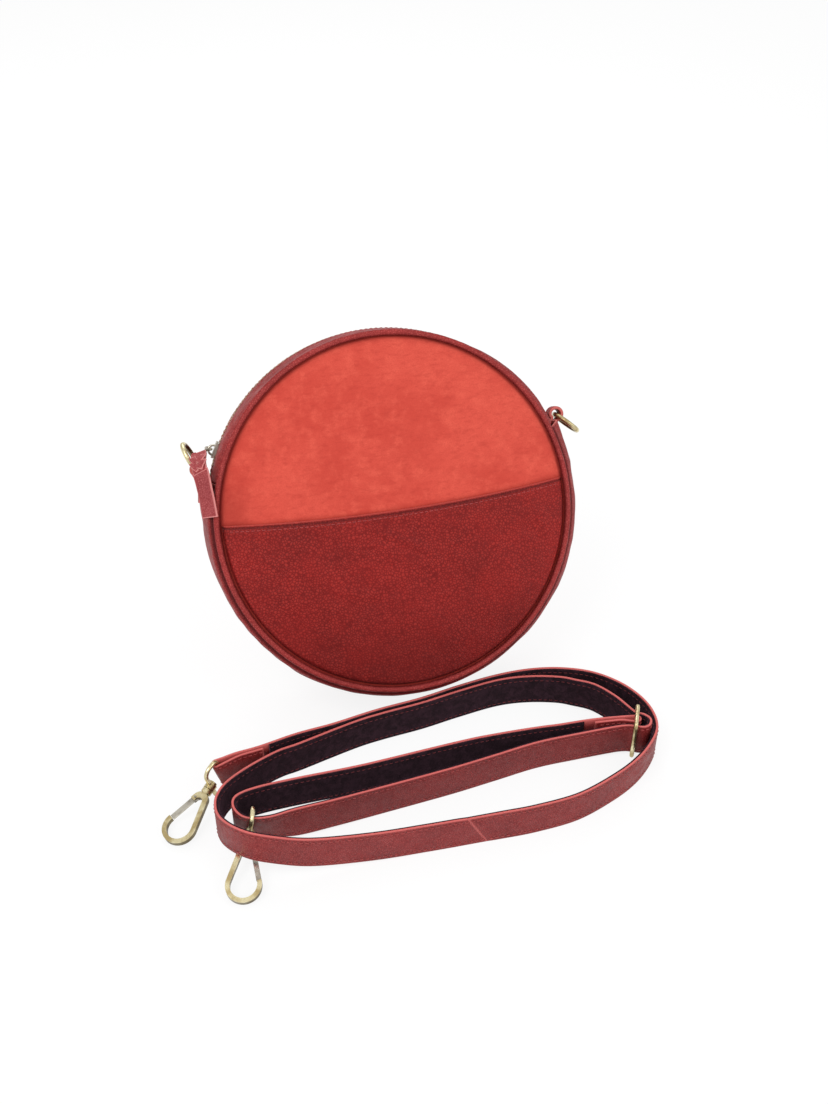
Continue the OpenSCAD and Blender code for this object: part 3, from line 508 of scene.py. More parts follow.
def surface(name, grid, look, body, slot, close_u=False, close_v=False, caps=False, run=None, node=None,
            flip=False, **marks):
    """A piece from a grid (nu, nv, 3). Caps close both ends of a tube, and flip turns its faces over."""
    nu, nv = grid.shape[:2]
    faces = quads(nu, nv, close_u, close_v)
    if caps:
        faces += [list(range(nv))[::-1], list(range((nu - 1) * nv, nu * nv))]
    if flip:
        faces = [face[::-1] for face in faces]
    if run is None:
        along, across = np.linspace(0, run_along(grid[:, 0])[-1], nu), np.linspace(0, run_along(grid[0])[-1], nv)
        run = np.stack(np.meshgrid(along, across, indexing="ij"), -1).reshape(-1, 2)
    marks = {key: np.broadcast_to(value, (nu, nv)) for key, value in marks.items()}
    return piece(name, grid.reshape(-1, 3), faces, look, body, slot, run, node, **marks)


print("faces of a tube of 3 rings of 6 points:", len(quads(3, 6, close_v=True)))

# %% [markdown]
# ## The two faces
#
# Front and back are round panels that a stiffener holds in a shallow dome. Rings of points from the middle
# to the rim give that with few faces. A sphere cut flat would be too round at the middle and too steep at
# the rim. The last rings go down into the seam and turn in beside the piping, so no gap opens at the edge.

# %% A crowned round panel
PANEL_RIM = 107.6                            # radius where the dome ends and the edge turns in
ROLL, ROLL_DROP = 2.2, 1.6                   # width of the strip that rolls into the seam, and how far it drops
PANEL_TUCK = np.array([(108.35, 28.2), (108.0, 23.0)])   # radius and height of the turned-in edge
PANEL_WAVE, PANEL_WAVE_SIZE = 0.35, 46       # height and size of the unevenness
SEAM_SHADE = 105.2, 107.4                    # radii between which the seam's shadow grows


def crowned_panel(name, look, slot, node, side, seed, shade, rows=44, spokes=168):
    """Dome plus waves that fade at the rim, less the square of a step where the edge rolls down."""
    share = np.linspace(0, 1, rows) ** 0.85
    r, a = np.meshgrid(share * PANEL_RIM, np.arange(spokes) * 360 / spokes, indexing="ij")
    x, y = r * np.cos(np.radians(a)), r * np.sin(np.radians(a))
    f = dome(r) + PANEL_WAVE * ripple(np.stack([x, y], -1), PANEL_WAVE_SIZE, seed) * step(PANEL_RIM - r, 0, 18)
    f -= ROLL_DROP * step(r, PANEL_RIM - ROLL, PANEL_RIM) ** 2
    r, f = (np.vstack([v, np.tile(tuck[:, None], spokes)]) for v, tuck in zip((r, f), PANEL_TUCK.T))
    a = np.vstack([a, a[:len(PANEL_TUCK)]])
    x, y = r * np.cos(np.radians(a)), r * np.sin(np.radians(a))
    surface(name, bag(x, y, side * f), look, "bag", slot, close_v=True, node=node, flip=side > 0,
            run=np.stack([x, y], -1).reshape(-1, 2), shade=shade(x, y, r))


print(f"a face bulges by {dome(0) - dome(PANEL_RIM):.1f} mm from its rim to its middle")

# %% The front of suede and the back of leather
POCKET_H, POCKET_DIP = 8.0, 5.0              # height of the pocket's edge at the sides, and its dip at the middle


def pocket_top(x):
    """Height of the pocket's upper edge: a parabola that dips at the middle."""
    return POCKET_H - POCKET_DIP * (1 - (x / PANEL_R) ** 2)


def front_shade(x, y, r):
    """Dark just over the pocket's edge, at the seam, and in the left corner where the pocket pulls."""
    corner = bump(np.hypot(x + 101, 0.7 * (y - 14)), 0, 13) * step(r, 70, 100)
    return np.clip(0.3 * bump(y - pocket_top(x), 0, 1.6) + 0.75 * step(r, *SEAM_SHADE) + 0.4 * corner, 0, 1)


def back_shade(x, y, r):
    """Dark at the seam alone."""
    return 0.7 * step(r, *SEAM_SHADE)


crowned_panel("front_panel_suede", SUEDE, "suede", "front_panel", 1, 3, front_shade)
crowned_panel("back_panel_leather", BAND, "band_leather", "back_panel", -1, 8, back_shade)

# %% [markdown]
# ## The slip pocket
#
# The lower half of the front is a leather pocket, open at the top. Its edge is turned over and sewn down, so
# it is thicker there, with a groove under the stitches. A cloth simulation could drape it, but this leather
# is stiff and lies on the panel. So rows of points run down from the edge: the first ones follow the hem's
# section, and the others share out what is left to the rim. Long soft creases show where it is used.

# %% The hem's section and the creases
# distance down from the edge, and height over the panel
HEM = [(0.0, 0.05), (-0.25, 0.5), (-0.25, 1.1), (0.0, 1.6), (0.45, 1.85), (1.0, 1.7), (1.5, 1.42), (2.2, 1.34),
       (2.8, 1.46), (3.2, 1.5), (3.55, 1.42), (3.9, 1.52), (4.6, 1.62), (5.6, 1.58), (7.0, 1.5), (8.6, 1.46)]
# height, way across the crease, its place, where it fades in and where it fades out along itself
CREASES = [(-0.5, (0.5, 0.866), -18, (-30, 0), (20, 48)), (0.45, (0.42, 0.907), -14, (-28, 4), (22, 50)),
           (-0.4, (0.75, 0.66), -2, (10, 30), (60, 84)), (0.35, (0.3, 0.954), -52, (-40, -20), (8, 30)),
           (-0.35, (-0.35, 0.937), -40, (-60, -40), (-8, 14))]
CREASE_WIDTH = 2.2


def pocket_folds(xy):
    """Waves of two sizes, plus for each crease a hump across its line, between two steps along it."""
    folds = 0.45 * ripple(xy, 60, 21) + 0.22 * ripple(xy, 22, 22)
    for height, (nx, ny), at, fade_in, fade_out in CREASES:
        across, along = xy @ np.array([nx, ny]), xy @ np.array([ny, -nx])
        folds = folds + height * bump(across, at, CREASE_WIDTH) * step(along, *fade_in) * (1 - step(along, *fade_out))
    return folds


print("creases in the pocket:", len(CREASES))

# %% The pocket's leather
POCKET_RIM, POCKET_ENDS = 107.0, 106.6       # radius of its lower edge, and how far its upper edge reaches
POCKET_SPOKES, POCKET_ROWS = 190, 70         # points along the edge, and rows below the hem


def pocket():
    """Each spoke goes from the upper edge to the rim; rows lie at the hem's distances, then at even shares."""
    across = np.linspace(-POCKET_ENDS, POCKET_ENDS, POCKET_SPOKES)
    top = np.stack([across, pocket_top(across)], -1)
    tilt = math.atan2(pocket_top(POCKET_ENDS), POCKET_ENDS)
    turn = np.linspace(math.pi - tilt, 2 * math.pi + tilt, POCKET_SPOKES)
    foot = POCKET_RIM * np.stack([np.cos(turn), np.sin(turn)], -1)
    reach = np.maximum(np.linalg.norm(foot - top, axis=1), 1e-6)

    down, rise = np.array(HEM).T[..., None]
    below = np.arange(1, POCKET_ROWS + 1)[:, None] / POCKET_ROWS
    hem_end = np.minimum(down[-1] / reach, 1)
    share = np.vstack([np.clip(down / reach, -0.02, 1), hem_end + (1 - hem_end) * below])
    rise = np.vstack([rise, rise[-1] + 0 * below])
    # painted shade in the hem's groove, and a painted highlight along the folded top edge
    groove_shade = np.vstack([0.62 * bump(down, 1.9, 0.75), 0 * below])
    highlight_and_wear = np.vstack([0.8 * bump(down, 0.1, 0.4), 0 * below])

    xy = top + (foot - top) * share[..., None]
    x, y = xy[..., 0], xy[..., 1]
    r = np.hypot(x, y)
    f = dome(r) + rise + pocket_folds(xy) * step(POCKET_RIM - r, 0, 14) * step(share * reach, 3, 16)
    f -= 1.7 * step(r, POCKET_RIM - 2.4, POCKET_RIM) ** 2
    # painted shade: in the hem's groove, at the rim's seam, and darker towards the bottom
    shade = np.clip(groove_shade + 0.6 * step(r, 105.0, 106.9) + 0.3 * step(-y, 35, 105), 0, 1)
    surface("front_pocket_leather", bag(x, y, f), POCKET, "bag", "pocket_leather", node="front_pocket", flip=True,
            shade=shade, rim=highlight_and_wear)


pocket()

# %% [markdown]
# ## Stitches
#
# A machine stitch is a short length of thread that comes out of the leather, lies on it and goes in again.
# A dashed picture would lie flat. A short six-sided bead, thin and sunk at both ends, is repeated at an even
# pitch instead. There are hundreds of them, so each has only a few dozen faces, and all of a row are worked
# out at once.

# %% A row of stitches
# share of the length along the thread, share of its radius, rise over the leather
STITCH = np.array([(-0.5, 0.35, -0.2), (-0.34, 0.9, 0.05), (0.0, 1.0, 0.16), (0.34, 0.9, 0.05), (0.5, 0.35, -0.2)])
STITCH_SIDES = 6


def unit(v):
    """Each vector divided by its own length."""
    return v / np.linalg.norm(v, axis=-1, keepdims=True)


def between(s, run, rows):
    """Rows of three numbers read at distances s, by straight lines between the known places."""
    return np.stack([np.interp(s, run, rows[:, k]) for k in range(3)], -1)


def stitches(name, rows, body, slot, look=THREAD, pitch=3.4, length=2.4, radius=0.26):
    """Beads along each (path, outward ways): a ring is its place, plus cosine sideways and sine upwards."""
    along, fat, rise = STITCH.T[..., None]
    turn = 2 * math.pi * np.arange(STITCH_SIDES) / STITCH_SIDES
    sideways, upwards = radius * fat * np.cos(turn), rise + radius * fat * np.sin(turn)
    beads = []
    for path, out in rows:
        run = run_along(path)
        at = np.arange(0.5 * pitch, run[-1] - 0.4 * pitch, pitch)
        way, up = unit(between(at + 0.5, run, path) - between(at - 0.5, run, path)), unit(between(at, run, out))
        place, way, up = (v[:, None, None] for v in (between(at, run, path), way, up))
        beads.append(place + way * (along * length)[..., None] + up * upwards[..., None]
                     + np.cross(way, up) * sideways[..., None])
    beads = np.concatenate(beads)
    size = len(STITCH) * STITCH_SIDES
    first = size * np.arange(len(beads))[:, None, None]
    sides = np.array(quads(len(STITCH), STITCH_SIDES, close_v=True)) + first
    ends = np.array([range(STITCH_SIDES)[::-1], range(size - STITCH_SIDES, size)]) + first
    faces = [*sides.reshape(-1, 4).tolist(), *ends.reshape(-1, STITCH_SIDES).tolist()]
    uv = np.stack(np.broadcast_arrays(along * length, np.arange(float(STITCH_SIDES))), -1)
    piece(name, beads.reshape(-1, 3), faces, look, body, slot, np.tile(uv.reshape(-1, 2), (len(beads), 1)))
    print(f"{name}: {len(beads)} stitches")


print("faces of one stitch:", (len(STITCH) - 1) * STITCH_SIDES + 2)

# %% The row under the pocket's edge
HEM_STITCH_DOWN, HEM_STITCH_RISE = 3.55, 1.5   # the stitches lie in the hem's groove
hem_x = np.linspace(-103.5, 103.5, 240)
hem_y = pocket_top(hem_x) - HEM_STITCH_DOWN
hem_row = bag(hem_x, hem_y, dome(np.hypot(hem_x, hem_y)) + HEM_STITCH_RISE)
stitches("pocket_stitches", [(hem_row, np.broadcast_to(bag_way(0, 0, 1), hem_row.shape))], "bag", "pocket_leather",
         pitch=3.2, length=2.5, radius=0.2)

# %% [markdown]
# ## Piping
#
# Where a face meets the band, a strip of leather is rolled over a cord and sewn in between. Bent round the
# circle, it puckers a little. A torus would do for the roll itself. A grid round the circle and round the
# cord can also carry the puckers, and be pressed flat where the bag stands on it.

# %% The front and the back roll
BEAD_R, BEAD_AT = 1.9, 110.05                # radius of the roll, and of the circle that it follows
PUCKER, PUCKER_SIZE = 0.09, 5.5              # height and size of the puckers


def piping(name, side, node, spokes=640, around=14):
    """A ring of circles: radius of the roll plus puckers, and heights kept above the floor."""
    a, c = np.meshgrid(np.arange(spokes) * 360 / spokes, np.arange(around) * 360 / around, indexing="ij")
    ring = np.stack([np.cos(np.radians(a)) * 110, np.sin(np.radians(a)) * 110], -1)
    r = BEAD_R + PUCKER * ripple(ring, PUCKER_SIZE, 31 + side) + 0.04 * ripple(np.stack([a * 1.9, c * 0.05], -1), 14, 5)
    c = np.radians(c)
    grid = bag_polar(BEAD_AT + r * np.cos(c), a, side * (HALF + r * np.sin(c)))
    grid[..., 2] = np.maximum(grid[..., 2], FLOOR_GAP)
    # painted shade on the roll's inner side and on the side towards the band, and a painted highlight on the side that
    # faces out of the bag's face
    shade = np.clip(0.5 * step(-np.cos(c), 0.2, 1.0) + 0.35 * step(-np.sin(c), 0.3, 1), 0, 0.8)
    surface(name, grid, BAND, "bag", "band_leather", close_u=True, close_v=True, node=node, flip=side < 0,
            shade=shade, rim=0.12 * step(np.sin(c), 0.5, 1))


piping("front_piping_roll", 1, "front_piping")
piping("back_piping_roll", -1, "back_piping")

# %% [markdown]
# ## The lower band
#
# The lower edge, well over half of the way round, is one wide band of leather. It is fuller than the seams
# that hold it, so it swells between them, and at the right its front half is slack. Its two ends lie over the
# tails of the ring loops, which lift them. A plain cylinder would look like tin. A superellipse gives the
# swell: nearly flat at the middle and steep at the seams. Slack, lift and unevenness are added to its radius.

# %% How the band's leather stands out
PAD_FROM, PAD_END = 6.0, 20.6                # the tails' lift rises between these angles from the zip's end
LIFT = 3 * SKIN + 0.05                       # thickness of what lies under the ends
GUSSET_WAVES_R = 116                         # radius at which the unevenness is worked out
# angle, and how far the front half stands out more
SLACK = np.array([(294, 0), (304, 0.9), (312, 1.7), (320, 2.4), (332, 2.9), (346, 2.8), (354, 2.5), (362, 2.8),
                  (368, 3.4), (374, 2.2), (382, 0.9)]).T


def swell(f, power, edge=BAND_HALF):
    """A superellipse from 1 at the middle of the band to 0 at its edges."""
    return np.maximum(0, 1 - np.abs(f / edge) ** power) ** (1 / power)


def gusset_radius(a, f, from_end):
    """Seam radius, plus the swell, the lift at the ends, and unevenness and slack away from the seams."""
    rise = np.clip((PAD_END - PAD_FROM - from_end) / (PAD_END - PAD_FROM), 0, 1)
    lift = LIFT * rise ** 1.15 * (1 - step(np.abs(f), 12, 25))
    ang = np.radians(a)
    place = np.stack([np.cos(ang) * GUSSET_WAVES_R, np.sin(ang) * GUSSET_WAVES_R, f], -1)
    uneven = 0.35 * ripple(place, 40, 41) + 0.16 * ripple(place * np.array([1, 1, 0.4]), 13, 42) - 0.25
    slack = np.interp(a, *SLACK) * step(f, 0, 16) - 1.7 * window(a, 196, 262, 20) * step(-f, -14, 14)
    inside = step(BAND_HALF - np.abs(f), 0, 9)
    return SEAM_OUT + GUSSET_SWELL * swell(f, 4.0) + lift + (uneven * (1 - 0.8 * rise) + slack) * inside


print(f"the band's lift over the loops' tails: {LIFT:.2f} mm")

# %% The band with its seams and cut ends
GUSSET_A0, GUSSET_A1 = ZIP_A1 + END_GAP, 360 + ZIP_A0 - END_GAP
END_SPAN, END_ROWS, MIDDLE_ROWS, CROSS_ROWS = 18, 46, 300, 56
# radius and height of the edges that turn in beside the piping
GUSSET_TUCK = np.array([(108.9, 24.0), (109.0, 27.1), (109.9, 27.25)])
# the cut end from its face to under the band: depth below it, and millimetres past the last row
CUT_END = [(0.35, 0.25), (SKIN - 0.3, 0.25), (SKIN, -0.1), (SKIN + 0.2, -3.0)]
MM_PER_DEGREE = 2.05                         # length of one degree on the band


def cut_end(r, a, f, way):
    """Rows that close an end: each goes deeper, but not below the band's inside, and a little along."""
    return [(np.maximum(r - deep, np.minimum(r, GUSSET_IN - 1)), a + way * past / MM_PER_DEGREE, f)
            for deep, past in CUT_END]


def gusset():
    """Rows round the bag, closer together at the ends; across, the points crowd at both seams."""
    turns = np.r_[np.linspace(GUSSET_A0, GUSSET_A0 + END_SPAN, END_ROWS),
                  np.linspace(GUSSET_A0 + END_SPAN, GUSSET_A1 - END_SPAN, MIDDLE_ROWS)[1:-1],
                  np.linspace(GUSSET_A1 - END_SPAN, GUSSET_A1, END_ROWS)]
    across = BAND_HALF * np.sin(np.linspace(-1, 1, CROSS_ROWS) * math.pi / 2)
    a, f = np.meshgrid(turns, across, indexing="ij")
    r = gusset_radius(a, f, np.minimum(a - GUSSET_A0, GUSSET_A1 - a))
    low, high = (np.tile(column, (len(a), 1)) for column in GUSSET_TUCK.T)
    r, f = np.hstack([low, r, low[:, ::-1]]), np.hstack([-high, f, high[:, ::-1]])
    beside = a[:, :len(GUSSET_TUCK)]
    a = np.hstack([beside, a, beside])
    rows = [*cut_end(r[0], a[0], f[0], -1)[::-1], *zip(r, a, f), *cut_end(r[-1], a[-1], f[-1], 1)]
    grid = np.array([bag_polar(*row) for row in rows])
    grid[..., 2] = np.maximum(grid[..., 2], FLOOR_GAP)
    rim = np.r_[0, 0.6, 1, 1, 0.5, np.zeros(len(turns) - 2), 0.5, 1, 1, 0.6, 0]
    seam = 0.75 * step(np.abs(f[0]), 25.4, 26.9)
    shade = np.broadcast_to(seam, (len(rows), len(seam))).copy()
    shade[[0, -1]], shade[[1, -2]] = 0.9, 0.4
    surface("lower_gusset_leather", grid, BAND, "bag", "band_leather", node="lower_gusset", rim=rim[:, None],
            shade=shade, flip=True)


gusset()

# %% [markdown]
# ## The zip's strips
#
# The zip lies in the upper edge, between two narrower leather strips. Each strip has a folded edge beside
# the teeth, a row of stitches just behind the fold, and a seam at the piping. Its section is drawn once as a
# line of points, and that line is carried round the bag. A bevelled curve could do this too, but it can't
# change its fullness on the way, and the real strip bulges near the ends and lies low at the top.

# %% The section of a strip
# distance from the zip's middle, and height over the strip's swell: the fold, the groove, the seam's tuck
STRIP_FOLD = [(4.9, -1.25), (4.55, -0.9), (4.45, -0.45), (4.6, -0.1), (5.0, 0.02), (5.6, 0.0), (6.4, -0.04),
              (6.9, -0.16), (7.4, -0.04)]
STRIP_TUCK = [(27.25, -0.3), (27.1, -1.2), (24.0, -3.33)]
STRIP_LINE = np.array([*STRIP_FOLD, *[(f, 0.0) for f in np.linspace(8.2, 26.95, 26)], *STRIP_TUCK])
STRIP_STITCH = 6.9                           # the stitches' distance from the zip's middle
STRIP_POWER = 2.2                            # power of the superellipse of the strips' swell
STRIP_WAVES_R = 113                          # radius at which the unevenness is worked out
STRIP_END_DROP = 1.3                         # how far the cut ends go down
# angle, and how far the front strip stands out more
STRIP_FULL = np.array([(21, 2.9), (34, 2.9), (44, 2.2), (50, 1.3), (56, 0.4), (62, -0.4), (70, -0.9), (78, -0.8),
                       (90, -0.5), (104, -0.8), (118, -1.3), (130, -1.1), (140, 0.2), (148, 0.6), (160, 0.6)]).T
print("points in a zip strip's section:", len(STRIP_LINE))


# %% One strip with its stitches
def zip_strip(side, name):
    """Seam radius plus swell and section; unevenness and fullness fade at the fold and at the seam."""
    a, k = np.meshgrid(np.linspace(ZIP_A0, ZIP_A1, 240), np.arange(len(STRIP_LINE)), indexing="ij")
    f, over = STRIP_LINE[k, 0], STRIP_LINE[k, 1]
    ang = np.radians(a)
    place = np.stack([np.cos(ang) * STRIP_WAVES_R, np.sin(ang) * STRIP_WAVES_R, f], -1)
    uneven = 0.22 * ripple(place, 36, 51 + side) + 0.1 * ripple(place, 11, 55 + side)
    full = np.interp(a, *STRIP_FULL) if side > 0 else -0.5 * bump(a, 98, 26) - 1.3 * bump(a, 122, 18)
    loose = (uneven + full * step(f, 6, 16)) * step(BAND_HALF - f, 0, 8) * step(f, 5, 9)
    r = SEAM_OUT + ZIP_SWELL * swell(f, STRIP_POWER) + over + loose
    ends = [bag_polar(r[k] - STRIP_END_DROP, a[k], side * f[k]) for k in (0, -1)]
    grid = np.array([ends[0], *bag_polar(r, a, side * f), ends[1]])
    f, over = STRIP_LINE.T
    # painted shade at the seam, in the stitches' groove and on the turned-under rows, and a painted highlight on the
    # top of the fold
    shade = np.clip(0.8 * step(f, 25.6, 26.9) + 0.5 * bump(f, STRIP_STITCH, 0.35) + 0.6 * (over < -0.6), 0, 1)
    surface(f"zip_strip_{name}_leather", grid, BAND, "bag", "band_leather", node=f"zip_strip_{name}", flip=side > 0,
            shade=shade, rim=0.2 * bump(f, 4.7, 0.4) * (over > -0.6))

    turns = np.linspace(ZIP_A0 + 1, ZIP_A1 - 1, 420)
    path = bag_polar(SEAM_OUT + ZIP_SWELL * swell(STRIP_STITCH, STRIP_POWER) - 0.05, turns, side * STRIP_STITCH)
    out = path - bag_polar(100, turns, side * STRIP_STITCH)
    stitches(f"zip_stitches_{name}", [(path, out)], "bag", "band_leather", pitch=3.2, length=2.4, radius=0.2)


# %% [markdown]
# ## The zip's tape
#
# The teeth are clamped onto the corded edge of a woven tape, which goes out of sight under the strip. The
# teeth themselves are solids of the frame. One sheet with Solidify would be no thicker at the cord than
# beside it. So the tape is a flat tube: an upper sheet that thickens over the cord, and an under sheet,
# joined at both edges, which gives it a real edge beside the teeth.

# %% Half of the tape
TAPE_CORD, TAPE_CORD_AT, TAPE_CORD_WIDTH = 0.25, 1.0, 0.8   # height, place and width of the cord
TAPE_TOP, TAPE_UNDER = 0.15, 0.5             # depths of the two sheets below the strips' inside


def zip_tape(side, name):
    """The band's inside swell, less a depth for each sheet, plus a hump for the cord."""
    across = np.r_[np.linspace(0.12, 2.2, 9), np.linspace(2.6, 9.6, 10)]
    a, f = np.meshgrid(np.linspace(ZIP_A0 + 0.05, ZIP_A1 - 0.05, 220), across, indexing="ij")
    r = GUSSET_IN + ZIP_SWELL * swell(f, STRIP_POWER, BAND_HALF - SKIN)
    top = bag_polar(r - TAPE_TOP + TAPE_CORD * bump(f, TAPE_CORD_AT, TAPE_CORD_WIDTH), a, side * f)
    under = bag_polar(r - TAPE_UNDER, a, side * f)
    surface(f"zip_tape_{name}_weave", np.concatenate([top, under[:, ::-1]], axis=1), TAPE, "bag", "zip_tape",
            close_v=True, caps=True, node=f"zip_tape_{name}", flip=side < 0)


for side, name in ((1, "front"), (-1, "back")):
    zip_strip(side, name)
    zip_tape(side, name)

# %% [markdown]
# ## Flat leather strips
#
# Loops and pull are cut from flat leather. A cut edge is paler than the face and slightly rounded. A curve
# with a bevel can be swept along a path, but it turns where it likes. So the section is placed one by one: at
# each point of the path two directions are given, across the strip and out of its face.

# %% A strip along a path, with pale cut edges
# share of the half width, share of the half thickness, and how pale the edge is there
STRIP_SECTION = [(1, 0.4, 1), (1, 0.9, 0.6), (0.86, 1, 0), (0.4, 1.06, 0), (0, 1.08, 0), (-0.4, 1.06, 0),
                 (-0.86, 1, 0), (-1, 0.9, 0.6), (-1, 0.4, 1), (-1, -0.4, 1), (-1, -0.9, 0.6), (-0.86, -1, 0),
                 (0, -1, 0), (0.86, -1, 0), (1, -0.9, 0.6), (1, -0.4, 1)]
EDGE_ROUND = 0.15                            # how far the corners of the cut edge are drawn in


def flat_strip(name, path, wide, out, width, thick, look, body, slot, node=None, flip=False):
    """The path, plus shares of the half width and the half thickness in their own directions."""
    s, q, pale = np.array(STRIP_SECTION).T
    corner = EDGE_ROUND * np.sign(s) * ((np.abs(s) == 1) & (np.abs(q) >= 0.9))
    w, t = (np.broadcast_to(size, len(path))[:, None] / 2 for size in (width, thick))
    grid = path[:, None] + unit(wide)[:, None] * (s * w - corner)[..., None] + unit(out)[:, None] * (q * t)[..., None]
    rim = np.tile(pale, (len(path), 1))
    rim[[0, -1]] = 1
    surface(name, grid, look, body, slot, close_v=True, caps=True, node=node, flip=flip, rim=rim, shade=0.0)


def smooth(points, n):
    """A curve through listed points, n steps to a span: each span is a cubic of its four neighbours."""
    p = np.asarray(points, float)
    p = np.vstack([p[:1], p, p[-1:]])
    a, b, c, d = (p[k:len(p) - 3 + k, None] for k in range(4))
    t = np.arange(n)[:, None] / n
    spans = (2 * b + (c - a) * t + (2 * a - 5 * b + 4 * c - d) * t ** 2 + (3 * b - a - 3 * c + d) * t ** 3) / 2
    return np.vstack([spans.reshape(-1, p.shape[1]), p[-1:]])


print("points in a flat strip's section:", len(STRIP_SECTION))

# %% [markdown]
# ## The two ring loops
#
# A metal ring hangs at each end of the zip, in a loop of leather. The loop is one strip folded round the
# ring, and both of its tails go under the end of the lower band. Simple Deform could bend a flat strip, but
# its tails would miss their places. So its path is an arc round the place where the ring passes, with a few
# points before and after it that lie flat on the bag. The left loop stands lower over the band and lies
# further past its end, so it has its own distances.

# %% Loops for the rings
LOOP_R, LOOP_W, LOOP_T = 3.95, 8.0, 2.0      # radius of the fold, width and thickness of the strip
# right and left: how far the eye stands over the band, how far past its end, and where the fold begins
LOOP_PLACES = {1: (9.3, 0.9, -92), -1: (5.6, 2.9, -62)}
LOOP_FOLD_END = 196                          # degrees on the fold's own circle
# radius and angle of the points of both tails
FIRST_TAIL = np.array([(118.5, 14.0), (119.0, 17.0), (119.9, 19.2)])
LAST_TAIL = np.array([(118.0, 19.6), (117.4, 17.0), (117.2, 14.0)])


def flat_polar(r, a):
    """Radius and angle on the face as x and y."""
    return np.stack([r * np.cos(np.radians(a)), r * np.sin(np.radians(a))], -1)


def at_end(side, xy):
    """Places at the right end of the band as they are, or mirrored and turned down for the left end."""
    if side > 0:
        return xy
    turn = math.radians(LEFT_TURN)
    x, y = -xy[:, 0], xy[:, 1]
    return np.stack([x * math.cos(turn) - y * math.sin(turn), x * math.sin(turn) + y * math.cos(turn)], -1)


def loop(side, name):
    """A tail, an arc round the eye and the other tail, as one smooth path; its width goes out of the face."""
    stand, past, fold_start = LOOP_PLACES[side]
    eye = flat_polar(SEAM_OUT + GUSSET_SWELL + stand, PAD_END + past)
    outward = unit(eye)
    round_by = np.radians(np.linspace(fold_start, LOOP_FOLD_END, 11))[:, None]
    arc = eye + LOOP_R * (np.cos(round_by) * outward + np.sin(round_by) * np.array([-outward[1], outward[0]]))
    points = at_end(side, smooth(np.vstack([flat_polar(*FIRST_TAIL.T), arc, flat_polar(*LAST_TAIL.T)]), 6))
    way = np.gradient(points, axis=0)
    wide = np.broadcast_to(bag_way(0, 0, 1), (len(points), 3))
    flat_strip(f"{name}_loop_strip", bag(points[:, 0], points[:, 1], 0), wide,
               side * bag_way(way[:, 1], -way[:, 0], 0), LOOP_W, LOOP_T, BAND, "bag", "band_leather",
               node=f"{name}_loop", flip=side < 0)


loop(1, "right")
loop(-1, "left")

# %% [markdown]
# ## The zip's pull
#
# A leather tab hangs on the zip's metal puller. A thin strap is folded over the puller's cross bar, its
# strands are plaited down the front, and it ends in a flat tail. A full plait could be woven from three
# curves, but only its front shows. So a core carries two levels of crossed strands under a pointed head. All
# of it is placed along one line, given on the bag's face, with the way across the tab at each point.

# %% The line that the pull hangs along
# x, y and height on the face, and the way across the tab there
PULL_LINE = np.array([(-112.6, 53.3, 9), (-112.9, 52, 11), (-113.4, 50, 14), (-114.4, 46.7, 19),
                      (-114.5, 42.5, 23.6), (-114, 38, 27), (-113.6, 32, 28.8), (-113.2, 26, 29.5),
                      (-113, 20.5, 29.7), (-112.8, 14.2, 29.8)])
PULL_ACROSS = np.array([(.88, .11, .46), (.88, .11, .46), (.88, .11, .46), (.88, .11, .46), (.88, .1, .46),
                        (.82, .04, .57), (.78, 0, .63), (.78, 0, .63), (.78, .1, .63), (.78, .7, .63)])
BAR_ABOVE = 2.4                              # the line starts this far above the place where distances start
pull_path, pull_wide = smooth(PULL_LINE, 8), unit(smooth(PULL_ACROSS, 8))
pull_out = unit(np.cross(pull_wide, np.gradient(pull_path, axis=0)))
pull_out *= np.sign(pull_out[0, 2])
pull_run = run_along(pull_path) - BAR_ABOVE


def on_pull(s, across, lift):
    """The line's point at run s, plus the way across times a distance, plus the way out times a height."""
    s, across, lift = np.broadcast_arrays(s, across, lift)
    line, wide, out = (between(s, pull_run, row) for row in (pull_path, pull_wide, pull_out))
    return line + wide * across[..., None] + out * lift[..., None], out


def pull_strip(name, s, across, lift, width, thick, node=None):
    """A flat strip that follows the pull at the given distances across it and heights over it."""
    path, out = on_pull(s, across, lift)
    wide = np.cross(np.gradient(path, axis=0), out)
    flat_strip(name, bag(*path.T), bag_way(*wide.T), bag_way(*out.T), width, thick, PULL, "pull", "pull_leather",
               node)


print(f"the pull is {pull_run[-1]:.1f} mm long from its bar")

# %% The tail and the plait's core
tail_run = np.linspace(17.0, pull_run[-1], 36)
pull_strip("pull_tail_strip", tail_run, 0, 0.1, np.interp(tail_run, [17, 24, 44], [10.2, 10.6, 10.7]), 1.7, "pull_tail")
pull_strip("pull_plait_core", np.linspace(0.0, 18.6, 24), 0, 0, 9.2, 2.0, "pull_plait")

# %% [markdown]
# ## The pull's head and strands
#
# The head is the fold over the bar. It is slit at the middle, so that the puller's shank has room to swing,
# and it ends in a point over the plait. A Boolean could cut both out of a plain strip, but it leaves uneven
# faces in so thin a piece. So the head is a small sheet with a top and an underside, and its length changes
# across it, which draws both the slit and the point. The strands are short flat strips that cross in pairs.

# %% The head over the bar
SLIT, SLIT_ABOVE = 3.4, 1.3                  # how far the slit goes down, and how far the head starts above 0
HEAD_SIDE, HEAD_POINT = 5.5, 5.2             # length at the sides, and how far the point goes on
HEAD_HALF, HEAD_FLARE, HEAD_T = 4.3, 0.8, 1.3   # half width at the top, how much it widens, and thickness


